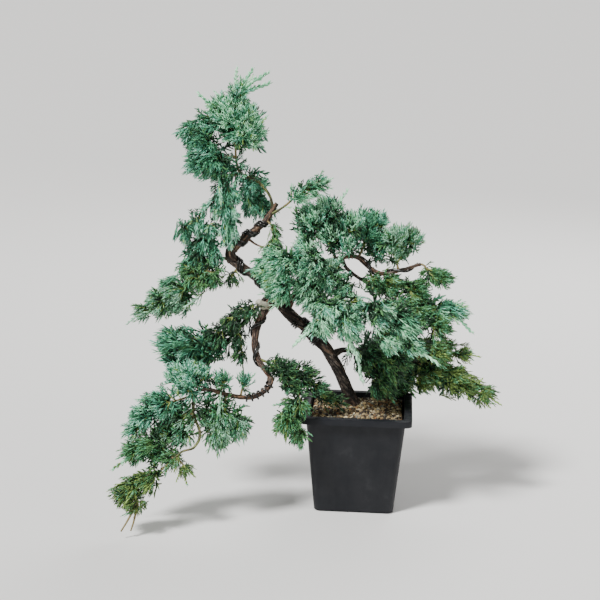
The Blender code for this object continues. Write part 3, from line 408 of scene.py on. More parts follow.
def makeBarkMaterial(name):
    # The grain attribute runs round and along the limb in millimetres, so the fibres follow every bend.
    plan = barkFinishes[name]
    made = newMaterial("finish_" + name, plan["body"], plan["roughness"])
    shader = made.node_tree.nodes["Principled BSDF"]
    grain = addNode(made, "ShaderNodeAttribute", attribute_name="grain")
    relief = addNode(made, "ShaderNodeAttribute", attribute_name="relief")
    broad = addNode(made, "ShaderNodeTexNoise", Scale=plan["scale"] * 0.35, Detail=3.0, Roughness=0.6)
    strands = addNode(made, "ShaderNodeTexNoise", Scale=plan["scale"] * 1.6, Detail=6.0, Roughness=0.65)
    specks = addNode(made, "ShaderNodeTexNoise", Scale=plan["scale"] * 6.0, Detail=3.0, Roughness=0.7)
    tones = addRamp(made, [(0.32, plan["dark"]), (0.45, plan["body"]), (0.53, plan["body"]),
                           (0.67, plan["pale"])])
    patches = addRamp(made, [(0.50, (0, 0, 0)), (0.62, (1, 1, 1))])
    patchMix = addMix(made, "MIX", 0.5)
    patchMix.inputs[7].default_value = (*plan["patch"], 1.0)
    # Painted shade in the furrows and cracks and a painted highlight on the ridges, driven by the relief
    # attribute.
    shade = addRamp(made, [(0.10, (0.12, 0.11, 0.10)), (0.42, (0.72, 0.72, 0.72)),
                           (0.78, (1.45, 1.42, 1.36))])
    shadeMix = addMix(made, "MULTIPLY", plan.get("shading", 1.0))
    speckRamp = addRamp(made, [(0.38, (0.78, 0.78, 0.78)), (0.66, (1.15, 1.15, 1.15))])
    speckMix = addMix(made, "MULTIPLY", 0.8)
    for pattern in (broad, strands, specks):
        join(made, grain, "Vector", pattern, "Vector")
    join(made, strands, "Fac", tones, "Fac")
    join(made, broad, "Fac", patches, "Fac")
    join(made, patches, "Color", patchMix, 0)
    join(made, tones, "Color", patchMix, 6)
    join(made, relief, "Fac", shade, "Fac")
    made.node_tree.links.new(patchMix.outputs[2], shadeMix.inputs[6])
    join(made, shade, "Color", shadeMix, 7)
    join(made, specks, "Fac", speckRamp, "Fac")
    made.node_tree.links.new(shadeMix.outputs[2], speckMix.inputs[6])
    join(made, speckRamp, "Color", speckMix, 7)
    made.node_tree.links.new(speckMix.outputs[2], shader.inputs["Base Color"])
    bump = addNode(made, "ShaderNodeBump", Strength=0.55, Distance=0.0005)
    heights = addNode(made, "ShaderNodeMath", operation="ADD")
    join(made, strands, "Fac", heights, 0)
    join(made, specks, "Fac", heights, 1)
    join(made, heights, "Value", bump, "Height")
    join(made, bump, "Normal", shader, "Normal")
    return made


# Training wires: the limb each one winds round, its span, turns and strands. Three are solids too.
wireSolids = ("wire_upper_trunk", "wire_cascade", "wire_bend")
wires = {
    "wire_upper_trunk": {"limb": "upper_trunk", "span": (0.16, 0.78), "turns": 3.3, "strands": 3},
    "wire_cascade": {"limb": "cascade_upper", "span": (0.20, 0.86), "turns": 2.2, "strands": 2},
    "wire_bend": {"limb": "cascade_middle", "span": (0.06, 0.40), "turns": 6.0, "strands": 1},
    "wire_knuckle": {"limb": "trunk", "span": (0.66, 0.97), "turns": 3.0, "strands": 3},
    "wire_trunk": {"limb": "trunk", "span": (0.37, 0.54), "turns": 2.6, "strands": 3},
    "wire_right": {"limb": "right_bough", "span": (0.55, 0.97), "turns": 2.2, "strands": 2},
}
wireGauge = {"radius": 1.1, "sides": 10, "pointsPerTurn": 26, "hover": 1.06, "strandGap": 3.0,
             "step": 1.5, "sway": 0.12, "swayPitch": 0.37}


def makeWire(name):
    plan = wires[name]
    points, radii, along = limbLine(plan["limb"], wireGauge["step"])
    length = along[-1]
    first, last = plan["span"]
    strands = []
    for strand in range(plan["strands"]):
        offset = strand * wireGauge["strandGap"] / length
        steps = round(plan["turns"] * wireGauge["pointsPerTurn"])
        side = (points[1] - points[0]).orthogonal().normalized()
        route = []
        for k in range(steps + 1):
            t = first + offset + (last - first) * k / steps
            s = min(t * length, length - 0.01)
            i = max(j for j in range(len(along) - 1) if along[j] <= s)
            part = (s - along[i]) / (along[i + 1] - along[i])
            centre = points[i].lerp(points[i + 1], part)
            tangent = (points[i + 1] - points[i]).normalized()
            side = (side - tangent * side.dot(tangent)).normalized()
            sway = wireGauge["sway"] * math.sin(k * wireGauge["swayPitch"])
            angle = 2 * math.pi * plan["turns"] * k / steps + sway
            reach = radii[i] * wireGauge["hover"] + wireGauge["radius"]
            out = side * math.cos(angle) + tangent.cross(side) * math.sin(angle)
            route.append(centre + out * reach)
        radiiHere = [wireGauge["radius"]] * len(route)
        strands.append(tubeFromRoute(f"{name}_{strand}", route, radiiHere, wireGauge["sides"]))
    bpy.ops.object.select_all(action="DESELECT")
    for piece in strands:
        piece.select_set(True)
    bpy.context.view_layer.objects.active = strands[0]
    if len(strands) > 1:
        bpy.ops.object.join()
    piece = bpy.context.view_layer.objects.active
    piece.name = "coil_" + name
    piece.data.polygons.foreach_set("use_smooth", [True] * len(piece.data.polygons))
    piece.data.materials.append(wireMaterial)
    finishPiece(piece, "wire", *[solid for solid in wireSolids if solid == name])


def makeWireMaterial():
    made = newMaterial("blackWire", (0.035, 0.034, 0.034), 0.30)
    shader = made.node_tree.nodes["Principled BSDF"]
    shader.inputs["Metallic"].default_value = 0.75
    place = addNode(made, "ShaderNodeTexCoord")
    # Pale flecks on the black wire are painted glints: highlights laid into the colour.
    glintNoise = addNode(made, "ShaderNodeTexNoise", Scale=420.0, Detail=3.0, Roughness=0.6)
    paintedGlints = addRamp(made, [(0.48, (0.030, 0.029, 0.029)), (0.72, (0.20, 0.19, 0.18))])
    join(made, place, "Object", glintNoise, "Vector")
    join(made, glintNoise, "Fac", paintedGlints, "Fac")
    join(made, paintedGlints, "Color", shader, "Base Color")
    return made


# Foliage masses: "on" is the limb that carries one, "tint" its slot and "look" a colour set other than
# the slot's own. Lobes are centres and radii, and shoots are the tips of far cords.
masses = {
    "apex_top": {
        "on": "leader", "end": "tip", "tint": "mint", "sweep": (0.1, 0, 0.6),
        "lobes": [(-151, 8, 444, 25), (-138, 0, 434, 20), (-167, 14, 457, 17), (-150, 8, 478, 12)],
        "shoots": [(-150, 6, 511), (-134, 10, 511), (-110, 4, 506), (-111, 12, 496), (-198, 14, 480),
                   (-180, 20, 482), (-165, 4, 484), (-113, -6, 457), (-131, 22, 463)],
    },
    "apex_left": {
        "on": "leader", "end": "side", "tint": "blue_green", "sweep": (-0.6, 0, -0.3),
        "lobes": [(-169, 1, 408, 18), (-180, -1, 427, 19), (-196, 3, 437, 15), (-186, -2, 403, 16),
                  (-182, 3, 450, 12), (-164, 4, 395, 14)],
        "shoots": [(-209, -4, 412), (-207, 2, 447), (-192, -2, 383)],
    },
    "hang_front": {
        "on": "left_arch", "end": "side", "tint": "mint", "look": "ice", "through": ["leader"],
        "sweep": (0, -0.1, -1.2),
        "lobes": [(-158, -6, 374, 16), (-156, -11, 356, 16), (-154, -12, 335, 14), (-156, -10, 319, 9)],
        "shoots": [(-156, -10, 304)],
    },
    "hang_back": {
        "on": "leader", "end": "side", "tint": "mint", "look": "ice", "sweep": (0.2, 0.1, -0.9),
        "lobes": [(-134, 23, 380, 16), (-131, 27, 360, 16), (-117, 25, 350, 13)],
        "shoots": [(-132, 20, 400), (-118, 24, 385), (-134, 28, 334)],
    },
    "hang_left": {
        "on": "left_arch", "end": "tip", "tint": "blue_green", "look": "ice", "sweep": (-0.2, 0, -1.1),
        "lobes": [(-191, -10, 338, 14), (-203, -14, 328, 13), (-184, -9, 316, 16), (-189, -10, 295, 17),
                  (-200, -12, 286, 13), (-171, -12, 300, 12), (-176, -12, 331, 12)],
        "shoots": [(-211, -16, 318), (-178, -8, 366), (-173, -8, 275)],
    },
    "shoot_tip": {
        "on": "right_shoot", "end": "tip", "tint": "mint", "sweep": (0.8, -0.1, 0.3),
        "lobes": [(-80, -1, 364, 12), (-67, -4, 373, 12), (-54, -7, 381, 10)],
        "shoots": [(-38, -10, 391), (-46, -12, 376)],
    },
    "sprig_under": {
        "on": "upper_trunk", "end": "side", "tint": "sea_green", "sweep": (0.3, 0, -0.9),
        "lobes": [(-104, -1, 329, 8), (-104, -3, 316, 9), (-108, -7, 307, 8)],
        "shoots": [(-92, -6, 308)],
    },
    "knuckle_tuft": {
        "on": "trunk", "end": "side", "tint": "deep_green", "sweep": (0, 0, -0.8),
        "lobes": [(-150, -8, 272, 9)],
        "shoots": [(-159, -6, 263), (-142, -8, 262)],
    },
    "left_inner": {
        "on": "left_upper", "end": "side", "tint": "olive", "look": "sea_green", "sweep": (-0.5, 0, -0.6),
        "lobes": [(-172, -22, 276, 15), (-186, -30, 270, 13), (-198, -26, 280, 10)],
        "shoots": [(-198, -26, 293)],
    },
    "left_outer": {
        "on": "left_upper", "end": "tip", "tint": "sea_green", "look": "ash", "sweep": (-0.9, 0, -0.4),
        "lobes": [(-204, -22, 256, 20), (-226, -21, 243, 17), (-247, -20, 229, 12), (-202, -20, 240, 13)],
        "shoots": [(-270, -22, 216), (-197, -24, 234), (-224, -22, 265)],
    },
    "brush": {
        "on": "left_middle", "end": "tip", "tint": "blue_green", "sweep": (-1.3, 0, 0.0),
        "lobes": [(-184, -34, 193, 22), (-206, -38, 196, 18), (-170, -31, 184, 17), (-202, -32, 179, 17),
                  (-182, -34, 171, 13)],
        "shoots": [(-234, -40, 194), (-226, -42, 185), (-224, -36, 177), (-189, -30, 160)],
    },
    "brush_dark": {
        "on": "left_middle", "end": "side", "tint": "deep_green", "sweep": (-0.5, 0, -0.9),
        "lobes": [(-131, -30, 236, 11), (-146, -36, 227, 13), (-161, -37, 211, 14), (-137, -40, 207, 11),
                  (-134, -42, 189, 10), (-122, -41, 243, 10)],
        "shoots": [(-174, -38, 210), (-131, -39, 165)],
    },
    "crown_top": {
        "on": "right_bough", "end": "side", "tint": "mint", "look": "pale", "sweep": (-0.3, 0, 0.9),
        "lobes": [(-36, 12, 310, 17), (-58, 11, 327, 20), (-39, 16, 341, 17), (-17, 20, 322, 18),
                  (-63, 4, 305, 14), (-15, 10, 303, 13)],
        "shoots": [(-70, 8, 346), (-18, 22, 371), (-54, 14, 361)],
    },
    "crown_back": {
        "on": "right_bough", "end": "side", "tint": "blue_green", "sweep": (0.3, 0.3, 0.8),
        "lobes": [(2, 42, 306, 16), (13, 50, 322, 15), (-4, 44, 326, 14), (20, 44, 302, 14),
                  (14, 38, 290, 12)],
        "shoots": [(24, 56, 339), (2, 50, 342)],
    },
    "crown_fine": {
        "on": "right_bough", "end": "side", "tint": "mint", "look": "ash", "sweep": (0.2, 0, 0.8),
        "lobes": [(39, 29, 291, 14), (37, 30, 309, 16), (54, 33, 309, 15)],
        "shoots": [(39, 32, 329), (68, 36, 306)],
    },
    "crown_end": {
        "on": "right_bough", "end": "tip", "tint": "sea_green", "sweep": (0.9, 0, -0.2),
        "lobes": [(79, 21, 276, 13), (92, 20, 271, 11)],
        "shoots": [(100, 20, 284), (85, 18, 262)],
    },
    "centre_left": {
        "on": "right_thin", "end": "tip", "tint": "mint", "sweep": (-0.9, -0.3, -0.3),
        "lobes": [(-87, -18, 291, 20), (-104, -17, 282, 15), (-86, -22, 263, 17), (-100, -12, 300, 10)],
        "shoots": [(-115, -16, 266), (-113, -12, 303), (-97, -24, 248)],
    },
    "centre_right": {
        "on": "right_bough", "end": "side", "tint": "mint", "look": "pale", "sweep": (-0.5, -0.4, -0.3),
        "lobes": [(-58, -8, 265, 18), (-56, -10, 289, 20), (-34, -4, 276, 19), (-44, -12, 247, 16),
                  (-18, -4, 262, 14)],
        "shoots": [(-72, -6, 315), (-20, 8, 303), (-69, -16, 232)],
    },
    "front_left": {
        "on": "front_bough", "end": "side", "tint": "mint", "look": "pale", "sweep": (0.5, -0.4, -0.6),
        "lobes": [(-33, -54, 248, 17), (-16, -64, 236, 18), (-42, -52, 232, 15), (-6, -58, 257, 13)],
        "shoots": [(-80, -62, 207), (6, -78, 172), (-6, -74, 207)],
    },
    "front_right": {
        "on": "front_bough", "end": "tip", "tint": "mint", "look": "pale", "sweep": (1.1, -0.3, -0.55),
        "lobes": [(17, -66, 250, 20), (43, -70, 238, 18), (28, -68, 220, 17), (56, -76, 216, 13)],
        "shoots": [(84, -84, 194), (63, -78, 221), (50, -76, 205)],
    },
    "mid_right": {
        "on": "inner_bough", "end": "side", "tint": "sea_green", "sweep": (0.9, 0, -0.1),
        "lobes": [(28, 28, 261, 15), (58, 26, 256, 16), (64, 18, 228, 16), (44, 16, 236, 15),
                  (86, 13, 214, 15), (10, 22, 264, 12)],
        "shoots": [(26, 36, 268), (81, 24, 242)],
    },
    "far_right": {
        "on": "inner_bough", "end": "tip", "tint": "sea_green", "look": "mint", "sweep": (1.0, 0, -0.3),
        "lobes": [(88, 24, 233, 16), (106, 18, 234, 14)],
        "shoots": [(125, 14, 228), (129, 12, 210), (114, 20, 250)],
    },
    "under_front": {
        "on": "low_bough", "end": "side", "tint": "deep_green", "sweep": (0.7, -0.2, -0.6),
        "lobes": [(8, -8, 186, 20), (31, -12, 182, 20), (48, -6, 200, 18), (22, -16, 155, 17)],
        "shoots": [(-7, -20, 168), (41, -14, 129), (10, -34, 200)],
    },
    "under_back": {
        "on": "low_bough", "end": "side", "tint": "deep_green", "sweep": (0.7, 0.05, -0.5),
        "lobes": [(20, 64, 172, 21), (46, 72, 168, 23), (42, 66, 139, 20), (74, 60, 174, 20)],
        "shoots": [(-12, 56, 158), (67, 60, 117), (84, 66, 185), (60, 92, 160)],
    },
    "low_right": {
        "on": "low_bough", "end": "tip", "tint": "olive", "sweep": (1.0, 0, -0.3),
        "lobes": [(84, 26, 157, 19), (104, 18, 151, 18), (124, 12, 145, 15), (143, 8, 137, 13),
                  (86, 8, 186, 15), (70, 12, 149, 13)],
        "shoots": [(167, 4, 127), (154, 4, 120), (144, 12, 157), (74, 18, 132)],
    },
    "low_right_upper": {
        "on": "low_bough", "end": "side", "tint": "olive", "sweep": (0.9, 0, 0.1),
        "lobes": [(76, 32, 182, 11), (97, 34, 181, 13), (117, 34, 176, 11)],
        "shoots": [(142, 34, 176), (131, 30, 164)],
    },
    "cascade_top": {
        "on": "cascade_middle", "end": "side", "look": "ice", "tint": "mint", "sweep": (-0.4, 0, 0.6),
        "lobes": [(-184, -97, 168, 15), (-199, -99, 167, 14), (-170, -91, 168, 12), (-185, -111, 158, 13)],
        "shoots": [(-211, -100, 174), (-192, -96, 187)],
    },
    "cascade_tuft": {
        "on": "cascade_middle", "end": "side", "tint": "blue_green", "sweep": (-0.2, 0, 0.7),
        "lobes": [(-150, -86, 161, 11)],
        "shoots": [(-152, -86, 173), (-140, -82, 168)],
    },
    "bend_tuft": {
        "on": "cascade_middle", "end": "side", "tint": "blue_green", "sweep": (0.2, 0, 0.9),
        "lobes": [(-129, -75, 157, 10)],
        "shoots": [(-116, -74, 171), (-132, -78, 166)],
    },
    "cascade_left": {
        "on": "cascade_middle", "end": "tip", "tint": "blue_green", "look": "ice",
        "sweep": (-0.9, -0.2, -0.3),
        "lobes": [(-210, -106, 142, 17), (-229, -110, 129, 17), (-242, -114, 114, 12),
                  (-226, -106, 146, 11)],
        "shoots": [(-257, -118, 107), (-228, -106, 153)],
    },
    "cascade_pale": {
        "on": "cascade_middle", "end": "side", "tint": "mint", "look": "ash", "sweep": (0.1, -0.2, -0.6),
        "lobes": [(-150, -92, 130, 17), (-156, -97, 112, 17), (-136, -88, 118, 15), (-168, -89, 132, 14)],
        "shoots": [(-157, -98, 79), (-124, -84, 127), (-135, -88, 97)],
    },
    "cascade_centre": {
        "on": "cascade_lower", "end": "side", "tint": "olive", "look": "ash", "sweep": (-0.5, 0.2, -0.3),
        "lobes": [(-198, -96, 125, 17), (-190, -98, 105, 14), (-211, -104, 107, 15)],
        "shoots": [(-219, -108, 98), (-190, -88, 138)],
    },
    "cascade_low": {
        "on": "cascade_lower", "end": "side", "tint": "sea_green", "sweep": (-0.9, 0, -0.2),
        "lobes": [(-211, -120, 90, 13), (-224, -122, 97, 16), (-240, -124, 91, 14), (-200, -113, 82, 12)],
        "shoots": [(-263, -128, 83), (-264, -130, 67), (-250, -124, 102)],
    },
    "cascade_tail": {
        "on": "cascade_lower", "end": "tip", "tint": "olive", "sweep": (-0.8, -0.2, -0.6),
        "lobes": [(-222, -140, 66, 15), (-238, -146, 58, 15), (-250, -150, 50, 12), (-236, -154, 42, 12)],
        "shoots": [(-265, -150, 58), (-259, -154, 34)],
        "bareShoots": [(-243, -160, 8), (-253, -166, 9)],
    },
    "cascade_sprig": {
        "on": "cascade_lower", "end": "side", "tint": "olive", "sweep": (0.4, 0, -0.7),
        "lobes": [(-189, -129, 77, 8)],
        "shoots": [(-176, -125, 64), (-187, -128, 55), (-197, -134, 60)],
    },
    "pot_side_upper": {
        "on": "pot_side", "end": "side", "tint": "olive", "look": "deep_green", "sweep": (0.7, 0, 0.0),
        "lobes": [(-84, -56, 171, 14), (-65, -47, 166, 14), (-97, -54, 175, 11), (-51, -44, 151, 13),
                  (-39, -32, 134, 10), (-26, -22, 127, 8), (-80, -62, 157, 13)],
        "shoots": [(-84, -56, 184), (-9, -16, 124)],
    },
    "pot_side_lower": {
        "on": "pot_side", "end": "tip", "tint": "sea_green", "sweep": (-0.1, -0.2, -0.8),
        "lobes": [(-67, -74, 141, 16), (-75, -81, 124, 16), (-65, -84, 110, 13)],
        "shoots": [(-94, -80, 146), (-89, -84, 114), (-62, -84, 92), (-46, -82, 109)],
    },
}

leafColours = {
    "frost": (0.46, 0.88, 0.56), "mint": (0.195, 0.54, 0.300), "aqua": (0.088, 0.335, 0.172),
    "blue": (0.043, 0.185, 0.105), "sea": (0.085, 0.235, 0.078), "deep": (0.018, 0.070, 0.028),
    "shade": (0.008, 0.028, 0.012), "moss": (0.120, 0.195, 0.045), "lime": (0.40, 0.60, 0.15),
    "ash": (0.29, 0.51, 0.37), "teal": (0.115, 0.42, 0.285), "ice": (0.43, 0.80, 0.61),
}
# Colours are dealt out by spray, in the order axis, side cords, outer tips.
# The "inner" sets are darker: partly painted shade deep inside a mass, partly the older growth there, which
# is darker than the young outer tips.
tints = {
    "mint": {"outer": [("blue", "mint", "frost"), ("aqua", "mint", "frost"), ("sea", "aqua", "mint"),
                       ("aqua", "teal", "ice"), ("lime", "frost", "frost"), ("moss", "aqua", "mint")],
             "inner": [("deep", "blue", "aqua"), ("shade", "deep", "sea")],
             "shoot": [("mint", "frost", "frost"), ("lime", "frost", "frost"), ("mint", "mint", "frost")]},
    "pale": {"outer": [("blue", "mint", "frost"), ("aqua", "frost", "frost"), ("deep", "mint", "frost"),
                       ("aqua", "teal", "ice"), ("moss", "ash", "frost"), ("deep", "aqua", "mint")],
             "inner": [("shade", "deep", "sea"), ("shade", "deep", "blue")],
             "shoot": [("mint", "frost", "frost"), ("ash", "frost", "frost")]},
    "blue_green": {"outer": [("deep", "aqua", "teal"), ("blue", "aqua", "mint"), ("sea", "blue", "aqua"),
                             ("blue", "teal", "ice")],
                   "inner": [("shade", "deep", "blue"), ("deep", "blue", "sea")],
                   "shoot": [("aqua", "mint", "frost"), ("mint", "mint", "frost")]},
    "sea_green": {"outer": [("sea", "sea", "aqua"), ("moss", "sea", "mint"), ("deep", "sea", "aqua"),
                            ("moss", "moss", "mint")],
                  "inner": [("shade", "deep", "sea"), ("shade", "sea", "sea")],
                  "shoot": [("sea", "mint", "mint"), ("moss", "mint", "frost")]},
    "deep_green": {"outer": [("deep", "deep", "sea"), ("deep", "deep", "aqua"), ("shade", "deep", "sea"),
                             ("deep", "sea", "moss")],
                   "inner": [("shade", "deep", "deep"), ("shade", "shade", "deep")],
                   "shoot": [("sea", "sea", "aqua"), ("moss", "sea", "aqua")]},
    "olive": {"outer": [("moss", "moss", "lime"), ("moss", "sea", "mint"), ("deep", "moss", "moss"),
                        ("deep", "sea", "moss")],
              "inner": [("shade", "deep", "moss"), ("deep", "moss", "sea")],
              "shoot": [("moss", "lime", "lime"), ("moss", "lime", "mint")]},
    "ice": {"outer": [("blue", "teal", "ice"), ("aqua", "teal", "ice"), ("aqua", "mint", "ice"),
                      ("blue", "aqua", "teal"), ("lime", "mint", "ice")],
            "inner": [("deep", "blue", "aqua"), ("shade", "deep", "blue")],
            "shoot": [("teal", "ice", "ice"), ("mint", "frost", "ice")]},
    "ash": {"outer": [("sea", "ash", "frost"), ("deep", "ash", "mint"), ("moss", "ash", "frost"),
                      ("blue", "aqua", "ash"), ("lime", "sea", "ash")],
            "inner": [("shade", "deep", "sea"), ("deep", "sea", "aqua")],
            "shoot": [("ash", "ash", "frost"), ("lime", "ash", "frost")]},
}

# Three sizes of feathery spray, one long free shoot and one coarse spray for the heart of a tuft, coloured
# dark there as painted shade.
# "side" is the longest side cord as a share of the length; "forked" cords carry short cords of their own.
sprayFields = ("length", "spacing", "side", "least", "thick", "splay", "forked")
sprayKinds = [dict(zip(sprayFields, row)) for row in (
    (15.0, 2.7, 0.46, 2.6, 0.66, 25.0, 7.2),
    (22.0, 2.9, 0.46, 2.8, 0.69, 23.0, 8.3),
    (31.0, 3.1, 0.42, 3.0, 0.72, 21.0, 9.4),
    (40.0, 3.4, 0.11, 3.4, 1.50, 33.0, 9.5),
    (17.0, 3.2, 0.50, 3.0, 1.10, 40.0, 99.0),
)]
sprayShape = {"variants": 7, "curve": 0.16, "wave": (0.02, 0.07), "subSpacing": 3.4, "subSplay": 29.0,
              "subLength": (3.0, 5.4)}
feathery = (0, 1, 2)
shootKind = 3
heartKind = 4


def cordArrays(path, radii):
    # A three-sided cord, closed at its root and pointed at its tip.
    way = (path[-1] - path[0]).normalized()
    side = way.orthogonal().normalized()
    other = way.cross(side)
    verts = []
    for point, radius in zip(path[:-1], radii):
        for k in range(3):
            angle = 2 * math.pi * k / 3
            verts.append(point + (side * math.cos(angle) + other * math.sin(angle)) * radius)
    verts.append(path[-1])
    faces = [(2, 1, 0)]
    for i in range(0, len(verts) - 4, 3):
        for k in range(3):
            a, b = i + k, i + (k + 1) % 3
            faces += [(a, b, b + 3), (a, b + 3, a + 3)]
    last = len(verts) - 4
    for k in range(3):
        faces.append((last + k, last + (k + 1) % 3, last + 3))
    return verts, faces


def makeSpray(kind, seed):
    # A loose feathery spray along +X: a curved axis, alternate side cords and short cords on those.
    rng = random.Random(seed)
    length = kind["length"]
    thick = kind["thick"]
    curve = rng.uniform(-1.0, 1.0) * sprayShape["curve"] * length
    wave = rng.uniform(*sprayShape["wave"]) * length
    verts, faces, parts = [], [], []

    def onAxis(t):
        return Vector((t * length, curve * t * t, wave * math.sin(t * 5.0)))

    def add(path, radii, tones):
        # One tone for each stretch of the cord, the last for its pointed tip.
        newVerts, newFaces = cordArrays(path, radii)
        start = len(verts)
        verts.extend(newVerts)
        faces.extend(tuple(v + start for v in face) for face in newFaces)
        parts.extend([tones[0]] + [tone for tone in tones[:-1] for face in range(6)] + [tones[-1]] * 3)

    add([onAxis(0), onAxis(0.45), onAxis(0.86), onAxis(1.0)], [thick * 1.1, thick, thick * 0.85], (0, 1, 2))
    count = round(length / kind["spacing"])
    for k in range(count):
        t = 0.12 + 0.80 * k / count
        hand = 1 if k % 2 else -1
        size = length * kind["side"] * (1.0 - t) ** 0.7 * rng.uniform(0.7, 1.2) + kind["least"]
        splay = math.radians(kind["splay"] + rng.uniform(-10, 11))
        way = Vector((math.cos(splay), hand * math.sin(splay), rng.uniform(-0.4, 0.4))).normalized()
        root = onAxis(t)
        middle = root + way * size * 0.70
        curl = Vector((0.7, -hand * rng.uniform(-0.1, 0.4), rng.uniform(-0.3, 0.3)))
        tip = middle + (way + curl).normalized() * size * 0.30
        tones = rng.choice([(1, 2), (1, 2), (0, 1), (1, 1), (2, 2)])
        add([root, middle, tip], [thick * 0.95, thick * 0.85], tones)
        if size < kind["forked"]:
            continue
        for j in range(int(size / sprayShape["subSpacing"])):
            share = 0.34 + j * sprayShape["subSpacing"] / size
            place = root.lerp(middle, min(share / 0.70, 1.0))
            subHand = 1 if j % 2 else -1
            turn = splay * hand + subHand * math.radians(sprayShape["subSplay"] + rng.uniform(-10, 10))
            subWay = Vector((math.cos(turn), math.sin(turn), rng.uniform(-0.5, 0.5))).normalized()
            reach = rng.uniform(*sprayShape["subLength"]) * (1.1 - 0.4 * share)
            add([place, place + subWay * reach], [thick * 0.85], (rng.choice((1, 2)),))
    return (np.array([tuple(v) for v in verts], dtype=np.float32), np.array(faces, dtype=np.int32),
            np.array(parts, dtype=np.int32))


foliage = {
    "twigsPerArea": 0.057, "fewestTwigs": 10, "reach": 1.40, "tipShare": (0.34, 0.84), "lag": 0.6,
    "heartsPerArea": 0.056, "heartReach": 1.22,
    "fansPerArea": 0.029, "fanReach": 1.62, "fanSpread": 0.30, "axisSpacing": 5.0,
    "sweepLean": 0.80, "forwardLean": 0.2, "spraySpacing": 4.2, "shortest": 7.0, "longest": 36.0,
    "terminalLeast": 10.5, "stemRadii": (1.5, 1.3, 1.0), "axisRadii": (1.1, 0.95, 0.8),
    "twigRadii": (0.8, 0.62, 0.45), "droop": 0.22, "shootLongest": 46.0, "fork": 31.0, "innerDepth": 0.78,
    "limbClear": 1.12, "floorClear": 3.0, "dressReach": 1.5, "dressLength": (10.0, 18.0),
    "twigBow": 0.10, "twigSweep": 0.04, "outward": 0.35, "sideLean": 0.8, "lift": 0.35,
    "sideShare": (0.72, 0.95),
    "heartShift": 0.25, "heartShare": (0.75, 1.0), "fanShift": 0.42, "fanShare": (0.8, 1.0),
    "axisShare": (0.8, 1.1), "lesserCords": 2, "lesserShare": (0.35, 0.55),
    "clearShares": (0.3, 0.5, 0.7, 0.85, 1.0),
    "bareRadii": (1.4, 1.3, 0.9), "farRadii": (0.9, 0.8, 0.7), "brownFrom": 1.2,
}
# The stretch of each young limb that carries short sprays of its own, and their spacing.
dressed = {
    "leader": (0.15, 1.0, 1.0), "left_arch": (0.05, 1.0, 1.4), "right_shoot": (0.3, 1.0, 2.0),
    "left_upper": (0.35, 1.0, 2.0), "left_middle": (0.1, 1.0, 1.5), "inner_bough": (0.2, 1.0, 1.8),
    "front_bough": (0.45, 1.0, 2.0), "low_bough": (0.40, 1.0, 2.0), "pot_side": (0.1, 1.0, 1.6),
    "cascade_lower": (0.0, 1.0, 1.5), "cascade_middle": (0.5, 1.0, 2.0), "right_thin": (0.6, 1.0, 2.0),
}


def massRoot(plan):
    points, radii, along = coarseLines[plan["on"]]
    heart = Vector(plan["lobes"][0][:3])
    if plan["end"] == "tip":
        way = (points[-1] - points[-2]).normalized()
        return points[-1] - way * 1.5, way
    place, radius, along = closestOnLimb(plan["on"], heart)
    way = heart - place
    way = (way - along * way.dot(along)).normalized()
    return place + way * radius * 0.6, way


def reachInBall(point, way, centre, radius):
    offset = point - centre
    along = offset.dot(way)
    under = along * along - offset.length_squared + radius * radius
    return max(0.0, math.sqrt(max(under, 0.0)) - along)


